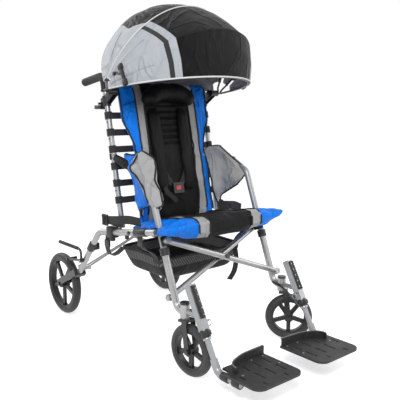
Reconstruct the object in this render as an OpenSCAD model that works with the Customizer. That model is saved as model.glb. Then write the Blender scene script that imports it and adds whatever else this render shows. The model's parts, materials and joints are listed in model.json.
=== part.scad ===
// Folding special needs buggy: two side frames, a folding X brace, casters and rear wheels,
// sliding footrests, a padded seat and back, and a hinged sun canopy.
// The buggy faces -Y, +X is the passenger's left, +Z is up and the wheels stand on z = 0.

/* [Side frames] */
// Half the distance between the two side frames
side_half = 250; // [235:1:290]
// Lean of the front legs from upright
leg_lean = 20.6; // [18:0.1:23]
// Diameter of the lower leg tube
leg_d = 26; // [22:0.5:28]
// Diameter of the upper leg and arm tube
arm_d = 24; // [18:0.5:25]
// Y of the brace pivot on the front leg
brace_pivot_y = -317; // [-325:1:-310]
// Height of the brace pivot on the front leg
brace_pivot_z = 268; // [262:1:276]
// Distance up the leg from the brace pivot to the collar
collar_up = 164; // [155:1:168]
// Distance up the leg from the brace pivot to the arm corner
arm_bend_up = 438; // [432:1:460]
// Bend radius of the arm corner
arm_bend_r = 40; // [30:1:45]
// Height of the leg's foot above the caster housing's lower end
leg_foot_up = 21.6; // [18:0.2:26]
// Bend radius at the foot of the leg
leg_bend_r = 40; // [25:1:44]
// Height where the arm meets the back cane
arm_join_z = 745; // [730:1:760]

/* [Seat rails] */
// Diameter of the seat rail
rail_d = 25; // [20:0.5:28]
// Distance that the rail lies outside the leg
rail_out = 32; // [30:0.5:40]
// Y of the rail's front end
rail_front_y = -252; // [-256:1:-244]
// Height of the rail's front end
rail_front_z = 495; // [485:1:500]
// Y of the bend behind the seat
rail_rear_y = 150; // [120:1:170]
// Height of the bend behind the seat
rail_rear_z = 431; // [425:1:440]
// Bend radius behind the seat
rail_bend_r = 60; // [40:1:80]
// Y of the rear leg's lower end
rear_leg_y = 326; // [315:1:330]
// Height of the rear leg's lower end
rear_leg_z = 226; // [220:1:235]

/* [Back canes] */
// Diameter of the back cane
cane_d = 22; // [18:0.5:24]
// Y of the cane's foot
cane_foot_y = 20; // [10:1:30]
// Height of the cane's foot
cane_foot_z = 466; // [460:1:472]
// Y of the cane's top
cane_top_y = 126; // [110:1:140]
// Height of the cane's top
cane_top_z = 1000; // [990:1:1020]
// Diameter of the push grip
grip_d = 32; // [26:0.5:38]
// Rise of the grip above the cane
grip_rise = 62; // [55:1:75]
// Reach of the grip behind the cane
grip_reach = 150; // [125:1:165]
// Drop of the grip's end
grip_drop = 22; // [10:1:30]
// Bend radius of the grip
grip_bend_r = 32; // [28:1:36]
// Height of each webbing band on the cane
band_h = 28; // [18:1:36]
// Height of the lowest webbing band
band_low_z = 575; // [560:1:600]
// Distance from one webbing band to the next
band_pitch = 66; // [50:1:68]

/* [Wheels] */
// Diameter of the front wheels
front_wheel_d = 190; // [180:1:192]
// Width of the front tyres
front_tyre_w = 32; // [26:1:36]
// Diameter of the rear wheels
rear_wheel_d = 280; // [265:1:284]
// Width of the rear tyres
rear_tyre_w = 36; // [30:1:38]
// Y of the caster stems
caster_y = -375; // [-380:1:-370]
// Distance from the caster stem to its axle
caster_trail = 31; // [24:1:33]
// Heading of the left caster, outwards from straight ahead
left_heading = 44; // [-90:1:90]
// Heading of the right caster, outwards from straight ahead
right_heading = -7; // [-90:1:90]
// Distance from the rear tyre to the rear leg's end
rear_room = 36; // [34:0.5:44]

/* [Fold] */
// Rise of each brace tube from side to side, along the leg
brace_rise = 200; // [198:1:204]
// Diameter of the brace tubes
brace_d = 22; // [18:0.5:24]
// Distance from the leg's axis to a brace tube's axis
brace_gap = 30; // [30:0.5:32]
// Turn of the brace from open to folded
fold_turn = 25; // [20:0.5:25]
// Diameter of the rear link rods
link_d = 8; // [6:0.5:9]

/* [Footrests] */
// Width of the square hanger
hanger_w = 28; // [26:0.5:32]
// Diameter of the footrest tube
footrest_d = 20; // [16:0.5:22]
// Run of the hanger from its upper to its lower end
hanger_run = 79; // [74:1:84]
// Rise of the hanger from its lower to its upper end
hanger_rise = 142; // [130:1:150]
// Distance that the hanger's lower end lies behind the wheel's front
hanger_over = 20; // [14:1:24]
// Travel of the footrest up its hanger
footrest_travel = 60; // [40:1:60]
// Height of the footplate's hinge
plate_hinge_z = 62; // [56:1:70]
// Distance from the footrest tube's corner to the plate's rear edge
plate_back = 4; // [2:0.5:10]
// Length of the footplate
plate_l = 195; // [180:1:215]
// Width of the footplate
plate_w = 190; // [170:1:195]
// Reach of the footplate over its tube
plate_out = 26; // [24:1:30]
// Thickness of the footplate
plate_t = 8; // [5:0.5:12]

/* [Brakes] */
// Distance down the rear leg from the rail's bend to the brake pivot
brake_down = 184; // [178:1:188]
// Swing of the brake pedal from free to locked
brake_turn = 8; // [4:0.5:8]
// Diameter of the brake rod
brake_d = 10; // [7:0.5:11]

/* [Seat] */
// Y of the front of the seat
seat_front_y = -358; // [-362:1:-352]
// Y of the back of the seat
seat_back_y = -34; // [-40:1:-30]
// Thickness of the seat
seat_t = 38; // [30:1:39]
// Drop of the front roll at the middle
seat_drop = 46; // [20:1:50]
// Crown of the seat
seat_crown = 14; // [8:1:18]

/* [Back] */
// Room between the back pad and each side frame's middle
back_room = 42; // [40:1:55]
// Height of the back pad's lower edge
back_low_z = 500; // [496:1:512]
// Height of the back pad's upper edge
back_top_z = 1045; // [1030:1:1050]
// Thickness of the back pad
back_t = 40; // [34:1:44]
// Reach of the side wings towards the front
wing_reach = 25; // [20:1:34]
// Extra half width of the back pad above the arms
wing_out = 26; // [10:1:27]
// Depth of the sewn channels
channel_depth = 7; // [3:0.5:9]
// Sewn channels across the back
channels = 5; // [3:1:7]

/* [Canopy] */
// Reach of the canopy hinge outside the side frame's middle
canopy_out = 34; // [30:1:38]
// Y of the canopy hinge
canopy_y = 60; // [54:1:66]
// Height of the canopy hinge
canopy_z = 1000; // [994:1:1006]
// Thickness of the canopy cloth and its lining
canopy_t = 4; // [3:0.5:5]
// Reach of the rear edge from the hinge
rear_reach = 318; // [310:1:324]
// Reach of the rear bow from the hinge
crown_reach = 362; // [356:1:368]
// Reach of the rear panel's dome from the hinge
dome_reach = 345; // [338:1:350]
// Reach of the middle bow from the hinge
brow_reach = 424; // [416:1:430]
// Reach of the visor's peak from the hinge
peak_reach = 404; // [396:1:410]
// Reach of the visor's lip from the hinge
lip_reach = 372; // [366:1:380]
// Sag of the cloth between two bows
canopy_sag = 7; // [3:0.5:9]
// Diameter of the canopy bows
bow_d = 8; // [6:0.5:9]

/* [Basket] */
// Room between the basket and each side frame's middle
basket_room = 38; // [34:1:60]
// Y of the basket's front
basket_front_y = -196; // [-200:1:-180]
// Y of the basket's back
basket_back_y = 120; // [90:1:140]
// Height of the basket's floor
basket_low_z = 272; // [260:1:285]
// Height of the basket's rim
basket_top_z = 372; // [350:1:385]
// Wall of the basket
basket_t = 4; // [3:0.5:6]

/* [Hidden] */
$fn = 48;
// Fits
slip = 0.05;
gap = 0.3;
cut = 1;
seam = 0.05;
seam_l = 0.5;
// Directions of the leg and of the brace pivots
leg_dir = [0, sin(leg_lean), cos(leg_lean)];
fold_axis = [0, -cos(leg_lean), sin(leg_lean)];
pivot = [side_half, brace_pivot_y, brace_pivot_z];
rail_x = side_half + rail_out;
// Brace and its fold
brace_angle = atan(brace_rise / (2 * side_half));
brace_l = norm([2 * side_half, brace_rise]);
folded_rise = brace_l * sin(brace_angle + fold_turn);
runner_lag = brace_l * sin(brace_angle + fold_turn / 2) - (brace_rise + folded_rise) / 2;
stud_d = 10;
eye_wall = 2;
eye_d = brace_d + 2 * eye_wall;
eye_t = brace_d;
lug_t = 4;
runner_h = 34;
runner_wall = 6;
spacer_d = 16;
bolt_head_d = 18;
bolt_head_t = 6;
collar_h = 28;
collar_wall = 4;
// Caster housing, stem and fork
housing_d = 34;
housing_h = 52;
stem_d = 14;
crown_t = 8;
wheel_room = 6;
housing_low_z = front_wheel_d + wheel_room + crown_t + gap;
leg_foot_drop = (brace_pivot_z - housing_low_z - leg_foot_up) / cos(leg_lean);
fork_t = 4;
fork_w = 22;
fork_room = 4;
axle_d = 10;
nut_t = 5;
nut_d = 17;
cap_h = 7;
// Wheels
rim_share = 0.74;
seat_share = 1.6;
rim_t = 7;
hub_d = 38;
hub_room = 1.5;
spoke_w = 16;
spoke_t = 12;
spokes = 5;
// Rear fork and brake
rear_fork_t = 5;
rear_fork_w = 30;
rear_axle_d = 12;
rear_crown_t = 18;
rear_crown_w = 30;
brake_rise = 48;
brake_reach = 200;
shoe_gap = 16;
shoe_lean = 34.4;
shoe_d = 14;
brake_pin_d = 8;
brake_hub_d = 18;
brake_hub_l = 18;
// Rear links and their knee
link_spread = 11;
link_knee_spread = 14;
link_tongue = 4;
link_pin_d = 8;
link_hub_d = 16;
link_hub_l = 34;
link_knee_l = 20;
link_eye_l = 9;
link_y = 318;
link_z = 246;
link_lug_t = 5;
// Hanger and footrest
hanger_low_y = caster_y - caster_trail - front_wheel_d / 2 + hanger_over;
hanger_top_y = hanger_low_y + hanger_run;
hanger_low_z = front_wheel_d;
hanger_top_z = hanger_low_z + hanger_rise;
hanger_bar_d = 18;
footrest_hold = 36;
footrest_in = footrest_travel + footrest_hold;
footrest_bend_r = 20;
plate_hub_d = 30;
plate_hub_l = 34;
plate_hub_places = [37, 92];
plate_notch = 36;
plate_corner = 20;
plate_lip_h = 22;
plate_lip_t = 5;
plate_slot_l = 46;
plate_slot_w = 8;
plate_slots = 5;
plate_room = 4;
// Joint blocks between the tubes
block_h = 30;
block_w = 16;
saddle_h = 24;
saddle_wall = 5;
// Canopy hinge bracket
canopy_half = side_half + canopy_out;
clamp_h = 40;
clamp_wall = 5;
clamp_z = 962;
bracket_d = 14;
hinge_pin_d = 8;
hinge_eye_d = 20;
hinge_eye_t = 6;
hinge_step = 9;
hinge_boss_d = 26;
// Soft pieces
seat_rise = 26;
seat_clear = 26;
seat_over = 12;
lobe_share = 0.58;
lobe_power = 12;
seat_neck = side_half - seat_clear;
seat_nose = rail_x + seat_over;
seat_side = rail_x - rail_d / 2 - gap * 2;
seat_steps = 16;
seat_cells = 20;
back_half = side_half - back_room;
back_set = cane_d / 2 + gap;
wing_above = 30;
wing_ramp = 40;
back_cells = 16;
back_steps = 30;
pad_edge_share = 0.55;
wing_power = 6;
edge_power = 6;
band_t = 3;
band_in = 142;
pillow_r = 80;
pillow_d = 78;
pillow_turn = 210;
pillow_z = 962;
panel_t = 18;
panel_x = side_half - arm_d / 2 - gap;
panel_steps = 10;
buckle_w = 52;
buckle_h = 44;
buckle_t = 20;
buckle_z = 606;
strap_w = 38;
strap_t = 3;
strap_top_z = 890;
strap_low_z = buckle_z + buckle_h / 2 + 2 * gap;
strap_top_x = 70;
strap_low_x = strap_w / 2 + gap;
strap_steps = 20;
button_w = 22;
panel_low_z = 528;
button_h = 16;
button_t = 5;
button_travel = 2.5;
canopy_power = 2;
canopy_cells = 20;
canopy_steps = 8;
canopy_side = 82;
bow_side = 86;
bow_lug_w = 12;
lip_clear = 0.6;
brow_clear = 1.5;
crown_clear = 0.9;
bow_sides = 8;
// Angles of the canopy bows above straight ahead
lip_angle = 7;
peak_angle = 18;
brow_angle = 30;
crown_angle = 60;
dome_angle = 100;
rear_angle = 127;
// Straps that carry the basket
basket_half = side_half - basket_room;
tab_w = 24;
tab_t = 3;
tab_shares = [0.16, 0.86];
basket_floor_share = 0.82;
// Places along the frame
rail_slope = (rail_rear_z - rail_front_z) / (rail_rear_y - rail_front_y);
cane_slope = (cane_top_y - cane_foot_y) / (cane_top_z - cane_foot_z);
cane_tilt = atan(cane_slope);
rear_leg_dir = unit([0, rear_leg_y - rail_rear_y, rear_leg_z - rail_rear_z]);
rear_axle_y = rear_leg_y
    + sqrt(pow(rear_wheel_d / 2 + rear_room, 2) - pow(rear_leg_z - rear_wheel_d / 2, 2));
brake_y = rail_rear_y + rear_leg_dir[1] * brake_down;
brake_z = rail_rear_z + rear_leg_dir[2] * brake_down;
shoe_r = rear_wheel_d / 2 + shoe_gap + shoe_d / 2;
shoe_y = rear_axle_y - shoe_r * sin(shoe_lean);
shoe_z = rear_wheel_d / 2 + shoe_r * cos(shoe_lean);
hanger_dir = unit([0, hanger_low_y - hanger_top_y, hanger_low_z - hanger_top_z]);
plate_top_z = plate_hinge_z + footrest_d / 2 + gap + plate_t;
plate_x = side_half - footrest_d / 2 - plate_room;
corner_y = hanger_low_y + (plate_hinge_z - hanger_low_z) * hanger_dir[1] / hanger_dir[2];
plate_rear_y = corner_y - plate_back;
front_y = plate_rear_y - plate_l;
tube_front_y = corner_y - plate_hub_places[1] - plate_hub_l / 2 - gap;
rear_y = rear_axle_y + rear_wheel_d / 2;
frame_shift = -(front_y + rear_y) / 2;

function unit(v) = v / norm(v);
function on_leg(s) = pivot + leg_dir * s;
function rail_z(y) = rail_front_z + (y - rail_front_y) * rail_slope;
function cane_y(z) = cane_foot_y + (z - cane_foot_z) * cane_slope;
function at_side(y, z) = [side_half, y, z];
function at_rail(y, z) = [rail_x, y, z];
function half_angle(a, b, c) = acos(unit(a - b) * unit(c - b)) / 2;
function setback(a, b, c, r) = r / tan(half_angle(a, b, c));
function lerp(a, b, s) = a + (b - a) * s;
function cell(i, j, m) = i * (m + 1) + j;

// Colours
silver = "silver";
frame_grey = "dimgray";
black = "#202124";
cloth_blue = "#0a6ee8";
cloth_grey = "#b4b6ba";

// Shared shapes

module place() translate([0, frame_shift, 0]) children();

module sided(side) {
    if (side < 0) mirror([1, 0, 0]) children();
    else children();
}

module aim(p, v) translate(p) rotate([0, acos(unit(v)[2]), atan2(v[1], v[0])]) children();

module rod(p, q, d) aim(p, q - p) cylinder(d = d, h = norm(q - p));

// Frames whose Z runs up the leg or up the cane, with X unturned
module along_leg(p) translate(p) rotate([-leg_lean, 0, 0]) children();

module along_cane(z) translate(at_side(cane_y(z), z)) rotate([-cane_tilt, 0, 0]) children();

// A ring round the axis through p along v, centred on p
module ring(p, v, outer, inner, h) aim(p, v) difference() {
    cylinder(d = outer, h = h, center = true);
    cylinder(d = inner, h = h + 2 * cut, center = true);
}

// A bar of width w and thickness t in the plane x = constant, from p to q
module bar(p, q, t, w) {
    v = q - p;
    translate(p) rotate([atan2(v[2], v[1]), 0, 0])
        translate([-t / 2, 0, -w / 2]) cube([t, norm(v), w]);
}

module elbow(a, b, c, r, d) {
    half = half_angle(a, b, c);
    u = unit(a - b);
    v = unit(c - b);
    middle = b + unit(u + v) * (r / sin(half));
    px = unit(b + u * (r / tan(half)) - middle);
    pz = unit(cross(px, unit(b + v * (r / tan(half)) - middle)));
    py = cross(pz, px);
    multmatrix([
        [px[0], py[0], pz[0], middle[0]],
        [px[1], py[1], pz[1], middle[1]],
        [px[2], py[2], pz[2], middle[2]],
        [0, 0, 0, 1]
    ]) rotate_extrude(angle = 180 - 2 * half) translate([r, 0]) circle(d = d + 2 * seam);
}

// A round tube along three or more points, with bends of radius r
module bent_tube(pts, r, d) {
    last = len(pts) - 1;
    for (i = [0 : last - 1]) {
        ahead = unit(pts[i + 1] - pts[i]);
        from = i == 0 ? pts[0] : pts[i] + ahead * (setback(pts[i - 1], pts[i], pts[i + 1], r) - seam_l);
        to = i == last - 1 ? pts[last]
            : pts[i + 1] - ahead * (setback(pts[i], pts[i + 1], pts[i + 2], r) - seam_l);
        rod(from, to, d);
    }
    for (i = [1 : last - 1]) elbow(pts[i - 1], pts[i], pts[i + 1], r, d);
}

// A closed skin between two grids of points of the same size
module skin(front, back) {
    n = len(front) - 1;
    m = len(front[0]) - 1;
    count = (n + 1) * (m + 1);
    points = concat([for (row = front) each row], [for (row = back) each row]);
    faces = [
        for (i = [0 : n - 1], j = [0 : m - 1]) each [
            [cell(i, j, m), cell(i, j + 1, m), cell(i + 1, j + 1, m)],
            [cell(i, j, m), cell(i + 1, j + 1, m), cell(i + 1, j, m)],
            [count + cell(i, j, m), count + cell(i + 1, j + 1, m), count + cell(i, j + 1, m)],
            [count + cell(i, j, m), count + cell(i + 1, j, m), count + cell(i + 1, j + 1, m)]
        ],
        for (j = [0 : m - 1]) each [
            [cell(0, j + 1, m), cell(0, j, m), count + cell(0, j, m)],
            [cell(0, j + 1, m), count + cell(0, j, m), count + cell(0, j + 1, m)],
            [cell(n, j, m), cell(n, j + 1, m), count + cell(n, j + 1, m)],
            [cell(n, j, m), count + cell(n, j + 1, m), count + cell(n, j, m)]
        ],
        for (i = [0 : n - 1]) each [
            [cell(i, 0, m), cell(i + 1, 0, m), count + cell(i + 1, 0, m)],
            [cell(i, 0, m), count + cell(i + 1, 0, m), count + cell(i, 0, m)],
            [cell(i + 1, m, m), cell(i, m, m), count + cell(i, m, m)],
            [cell(i + 1, m, m), count + cell(i, m, m), count + cell(i + 1, m, m)]
        ]
    ];
    polyhedron(points, faces);
}

// Side frame

module front_leg(side) color(silver) place() sided(side) {
    foot = on_leg(-leg_foot_drop);
    stem = [side_half, caster_y, foot[2]];
    out = fold_axis * side;
    difference() {
        union() {
            bent_tube([on_leg(collar_up), foot, stem], leg_bend_r, leg_d);
            translate([side_half, caster_y, housing_low_z]) cylinder(d = housing_d, h = housing_h);
        }
        translate([side_half, caster_y, housing_low_z - cut])
            cylinder(d = stem_d + 2 * slip, h = housing_h + 2 * cut);
    }
    rod(pivot, pivot + out * (brace_gap + eye_t / 2), stud_d);
    rod(pivot, pivot + out * (brace_gap - eye_t / 2 - gap), spacer_d);
}

module arm_tube(side) color(frame_grey) place() sided(side) {
    corner = on_leg(arm_bend_up);
    join = at_side(cane_y(arm_join_z), arm_join_z);
    difference() {
        bent_tube([on_leg(collar_up), corner, join - unit(join - corner) * (cane_d / 4)], arm_bend_r, arm_d);
        rod(at_side(cane_y(cane_foot_z), cane_foot_z), at_side(cane_top_y, cane_top_z), cane_d + 2 * gap);
    }
}

module leg_collar(side) color(black) place() sided(side)
    ring(on_leg(collar_up), leg_dir, leg_d + 2 * (gap + collar_wall), leg_d + 2 * gap, collar_h);

// A half sleeve on the inner side of the leg with a slotted lug for the brace's stud
module runner(side) color(black) place() sided(side) {
    middle = on_leg(brace_rise);
    sleeve_d = arm_d + 2 * (gap + runner_wall);
    face = brace_gap - eye_t / 2 - gap - lug_t;
    out = -side;
    difference() {
        union() {
            intersection() {
                ring(middle, leg_dir, sleeve_d, arm_d + 2 * gap, runner_h);
                translate(middle - [sleeve_d, sleeve_d, sleeve_d])
                    cube([sleeve_d - gap, 2 * sleeve_d, 2 * sleeve_d]);
            }
            along_leg(middle) translate([-sleeve_d / 2, out < 0 ? face : -face - lug_t, -runner_h / 2])
                cube([sleeve_d, lug_t, runner_h]);
        }
        for (s = [0, runner_lag]) aim(middle + leg_dir * s, fold_axis)
            cylinder(d = stud_d + 2 * gap, h = 2 * sleeve_d, center = true);
        along_leg(middle) translate([-stud_d / 2 - gap, -sleeve_d, 0])
            cube([stud_d + 2 * gap, 2 * sleeve_d, runner_lag]);
    }
}

module seat_rail(side) color(silver) place() sided(side) {
    hub = at_side(link_y, link_z);
    bent_tube([at_rail(rail_front_y, rail_front_z), at_rail(rail_rear_y, rail_rear_z),
        at_rail(rear_leg_y, rear_leg_z)], rail_bend_r, rail_d);
    for (s = [-1, 1]) translate([side_half - link_hub_d / 2,
        link_y + s * (link_hub_l / 2 + gap + link_lug_t / 2) - link_lug_t / 2, link_z - link_hub_d / 2])
        cube([rail_out + link_hub_d / 2, link_lug_t, link_hub_d]);
    rod(hub - [0, link_hub_l / 2 + link_lug_t, 0], hub + [0, link_hub_l / 2 + link_lug_t, 0], link_pin_d);
    pin = at_rail(brake_y, brake_z);
    rod(pin, pin + [rail_d / 2 + brake_hub_l + gap, 0, 0], brake_pin_d);
    rod(pin - [rail_d / 2 - cut, 0, 0], pin + [rail_d / 2 - cut, 0, 0], brake_hub_d);
}

// The blocks that hold the leg, the cane and the arm, as one group
module frame_joints(side) color(black) place() sided(side) {
    leg_y = brace_pivot_y + (rail_front_z - brace_pivot_z) * tan(leg_lean);
    for (y = [leg_y, cane_foot_y]) difference() {
        translate([side_half, y - block_w / 2, rail_z(y) - block_h / 2])
            cube([rail_out, block_w, block_h]);
        rod(on_leg(-leg_foot_drop), on_leg(arm_bend_up), arm_d + 2 * gap);
        rod(at_rail(rail_front_y - block_w, rail_z(rail_front_y - block_w)),
            at_rail(rail_rear_y, rail_rear_z), rail_d + 2 * gap);
        rod(at_side(cane_foot_y - cane_slope * block_h, cane_foot_z - block_h),
            at_side(cane_top_y, cane_top_z), cane_d + 2 * gap);
    }
    along_cane(arm_join_z) difference() {
        cylinder(d = cane_d + 2 * (gap + saddle_wall), h = saddle_h, center = true);
        cylinder(d = cane_d + 2 * gap, h = saddle_h + 2 * cut, center = true);
        translate([-cane_d, -cane_d * 2 - gap, -saddle_h]) cube([cane_d * 2, cane_d * 2, saddle_h * 2]);
    }
}

module back_cane(side) color(silver) place() sided(side)
    rod(at_side(cane_y(cane_foot_z), cane_foot_z), at_side(cane_top_y, cane_top_z), cane_d);

module push_grip(side) color(black) place() sided(side) {
    base = at_side(cane_top_y, cane_top_z);
    bend = at_side(cane_y(cane_top_z + grip_rise), cane_top_z + grip_rise);
    bent_tube([base, bend, bend + [0, grip_reach, -grip_drop]], grip_bend_r, grip_d);
}

// Webbing bands round the cane with their tabs behind the back pad
module back_straps(side) color(black) place() sided(side)
    for (i = [0 : channels]) {
        z = band_low_z + i * band_pitch;
        along_cane(z) difference() {
            union() {
                cylinder(d = cane_d + 2 * (gap + band_t), h = band_h, center = true);
                translate([-band_in, -cane_d / 2 + gap, -band_h / 2]) cube([band_in, band_t, band_h]);
            }
            cylinder(d = cane_d + 2 * gap, h = band_h + 2 * cut, center = true);
        }
    }

module canopy_clamp(side) color(black) place() sided(side) {
    foot = at_side(cane_y(clamp_z), clamp_z);
    hinge = at_side(canopy_y, canopy_z);
    difference() {
        union() {
            along_cane(clamp_z) cylinder(d = cane_d + 2 * (gap + clamp_wall), h = clamp_h, center = true);
            rod(foot, hinge, bracket_d);
        }
        rod(at_side(cane_y(cane_foot_z), cane_foot_z), at_side(cane_top_y, cane_top_z), cane_d + 2 * gap);
    }
    rod(hinge - [bracket_d / 2, 0, 0],
        [canopy_half - hinge_eye_t / 2 - gap, canopy_y, canopy_z], hinge_boss_d);
    rod(hinge, [canopy_half + 2 * hinge_step + hinge_eye_t, canopy_y, canopy_z], hinge_pin_d);
}

// Casters and wheels

function heading(side) = side > 0 ? left_heading : right_heading;

// Turns a caster that points straight ahead to its heading
module steered(side) place() sided(side) translate([side_half, caster_y, 0])
    rotate([0, 0, heading(side)]) children();

module caster_fork(side) color(black) steered(side) {
    half = front_tyre_w / 2 + fork_room;
    axle = [0, -caster_trail, front_wheel_d / 2];
    crown_z = housing_low_z - gap;
    translate([0, 0, crown_z - crown_t]) cylinder(d = stem_d, h = housing_h + crown_t + gap + cap_h);
    translate([0, 0, crown_z + housing_h + 2 * gap]) cylinder(d = housing_d, h = cap_h);
    translate([-half - fork_t, -fork_w / 2 - caster_trail / 2, crown_z - crown_t])
        cube([2 * (half + fork_t), fork_w + caster_trail / 2, crown_t]);
    for (s = [-1, 1]) bar([s * (half + fork_t / 2), -caster_trail / 2, crown_z],
        [s * (half + fork_t / 2), axle[1], axle[2] - fork_w / 2], fork_t, fork_w);
    rod(axle - [half + fork_t + nut_t, 0, 0], axle + [half + fork_t + nut_t, 0, 0], axle_d);
    for (s = [-1, 1]) rod(axle + [s * (half + fork_t / 2), 0, 0],
        axle + [s * (half + fork_t + nut_t), 0, 0], nut_d);
}

module tyre(d, w) rotate([0, 90, 0]) difference() {
    rotate_extrude() translate([(d - w) / 2, 0]) circle(d = w);
    cylinder(d = d - seat_share * w, h = w + 2 * cut, center = true);
}

module rim(d, w, axle, hub_w) rotate([0, 90, 0]) difference() {
    outer = d - seat_share * w - 2 * gap;
    union() {
        difference() {
            cylinder(d = outer, h = w * rim_share, center = true);
            cylinder(d = outer - 2 * rim_t, h = w + 2 * cut, center = true);
        }
        cylinder(d = hub_d, h = hub_w, center = true);
        for (i = [0 : spokes - 1]) rotate([0, 0, i * 360 / spokes])
            translate([hub_d / 4, -spoke_w / 2, -spoke_t / 2])
                cube([outer / 2 - hub_d / 4 - rim_t / 2, spoke_w, spoke_t]);
    }
    cylinder(d = axle + 2 * slip, h = w * 2, center = true);
}

module at_front_axle(side) steered(side) translate([0, -caster_trail, front_wheel_d / 2]) children();

module at_rear_axle(side) place() sided(side) translate([rail_x, rear_axle_y, rear_wheel_d / 2]) children();

module front_tyre(side) color("gray") at_front_axle(side) tyre(front_wheel_d, front_tyre_w);

module front_rim(side) color(black) at_front_axle(side)
    rim(front_wheel_d, front_tyre_w, axle_d, front_tyre_w + 2 * (fork_room - hub_room));

module rear_tyre(side) color(frame_grey) at_rear_axle(side) tyre(rear_wheel_d, rear_tyre_w);

module rear_rim(side) color(black) at_rear_axle(side)
    rim(rear_wheel_d, rear_tyre_w, rear_axle_d, rear_tyre_w + 2 * (fork_room - hub_room));

module rear_fork(side) color(black) place() sided(side) {
    half = rear_tyre_w / 2 + fork_room;
    end = at_rail(rear_leg_y, rear_leg_z);
    axle = at_rail(rear_axle_y, rear_wheel_d / 2);
    translate(end) rotate([atan2(rear_leg_dir[2], rear_leg_dir[1]), 0, 0])
        translate([-half - rear_fork_t / 2, 0, -rear_crown_w / 2])
            cube([2 * half + rear_fork_t, rear_crown_t, rear_crown_w]);
    for (s = [-1, 1]) bar(end + [s * (half + rear_fork_t / 2), 0, 0],
        axle + [s * (half + rear_fork_t / 2), rear_fork_w / 2, 0], rear_fork_t, rear_fork_w);
    rod(axle - [half + rear_fork_t + nut_t, 0, 0], axle + [half + rear_fork_t + nut_t, 0, 0], rear_axle_d);
    for (s = [-1, 1]) rod(axle + [s * (half + rear_fork_t / 2), 0, 0],
        axle + [s * (half + rear_fork_t + nut_t), 0, 0], nut_d);
}

// A bent foot rod that swings on the rear leg and presses a shoe on the tyre
module brake_pedal(side) color(black) place() sided(side) {
    hub_x = rail_x + rail_d / 2 + gap;
    mid_x = hub_x + brake_hub_l / 2;
    hub = [mid_x, brake_y, brake_z];
    top = hub + [0, 0, brake_rise];
    arm_end = [mid_x, shoe_y, shoe_z];
    wall = (brake_hub_d + brake_pin_d) / 4;
    difference() {
        union() {
            rod([hub_x, brake_y, brake_z], [hub_x + brake_hub_l, brake_y, brake_z], brake_hub_d);
            bent_tube([hub + [0, 0, wall], top, top + [0, brake_reach, 0]], brake_d * 2, brake_d);
            rod(hub + unit(arm_end - hub) * wall, arm_end, brake_d);
            rod([rail_x - rear_tyre_w / 2, shoe_y, shoe_z], arm_end + [brake_d, 0, 0], shoe_d);
        }
        rod([hub_x - cut, brake_y, brake_z], [hub_x + brake_hub_l + cut, brake_y, brake_z],
            brake_pin_d + 2 * slip);
    }
}

// Fold

// One brace tube from its lower eye to its upper stud, on the side of the fold axis given by out
module brace_tube(low, high, out) {
    shift = fold_axis * out * brace_gap;
    inner = -fold_axis * out;
    middle = (low + high) / 2 + shift;
    difference() {
        union() {
            rod(low + shift, high + shift, brace_d);
            for (p = [low, high]) aim(p + shift, fold_axis) cylinder(d = eye_d, h = eye_t, center = true);
        }
        aim(low + shift, fold_axis) cylinder(d = stud_d + 2 * slip, h = eye_t + 2 * cut, center = true);
        aim(middle, fold_axis) cylinder(d = stud_d + 2 * slip, h = brace_d + 2 * cut, center = true);
    }
    rod(high + shift, high + shift + inner * (eye_t / 2 + gap + lug_t), stud_d);
}

function mirrored(p) = [-p[0], p[1], p[2]];

module rear_brace() color(silver) place() brace_tube(mirrored(pivot), on_leg(brace_rise), -1);

module front_brace() color(silver) place() brace_tube(pivot, mirrored(on_leg(brace_rise)), 1);

module brace_bolt() color(frame_grey) place() {
    middle = [0, on_leg(brace_rise / 2)[1], on_leg(brace_rise / 2)[2]];
    reach = brace_gap + brace_d / 2 + gap;
    rod(middle - fold_axis * reach, middle + fold_axis * reach, stud_d);
    rod(middle - fold_axis * (brace_gap - brace_d / 2 - gap),
        middle + fold_axis * (brace_gap - brace_d / 2 - gap), spacer_d);
    for (s = [-1, 1]) rod(middle + fold_axis * s * reach,
        middle + fold_axis * s * (reach + bolt_head_t), bolt_head_d);
}

// Half of the rear link; the right half carries the knee pin, the left half its two eyes
module rear_link(side) color(silver) place() sided(side) {
    hub = at_side(link_y, link_z);
    knee = [0, link_y, link_z + side_half * tan(brace_angle)];
    spread = side > 0 ? link_knee_spread : link_tongue;
    difference() {
        union() {
            for (s = [-1, 1]) rod(hub + [0, s * link_spread, 0], knee + [0, s * spread, 0], link_d);
            rod(hub - [0, link_hub_l / 2, 0], hub + [0, link_hub_l / 2, 0], link_hub_d);
            if (side < 0) rod(knee - [0, link_knee_l / 2 - gap, 0],
                knee + [0, link_knee_l / 2 - gap, 0], link_hub_d);
            else for (s = [-1, 1]) rod(knee + [0, s * link_knee_l / 2, 0],
                knee + [0, s * (link_knee_l / 2 + link_eye_l), 0], link_hub_d);
        }
        rod(hub - [0, link_hub_l, 0], hub + [0, link_hub_l, 0], link_pin_d + 2 * slip);
        if (side > 0) {
            rod(knee - [0, link_hub_l, 0], knee + [0, link_hub_l, 0], link_pin_d + 2 * slip);
            rod(knee - [0, link_knee_l / 2, 0], knee + [0, link_knee_l / 2, 0], link_hub_d + 2 * gap);
        }
    }
    if (side < 0) rod(knee - [0, link_knee_l / 2 + link_eye_l, 0],
        knee + [0, link_knee_l / 2 + link_eye_l, 0], link_pin_d);
}

// Footrests

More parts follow.
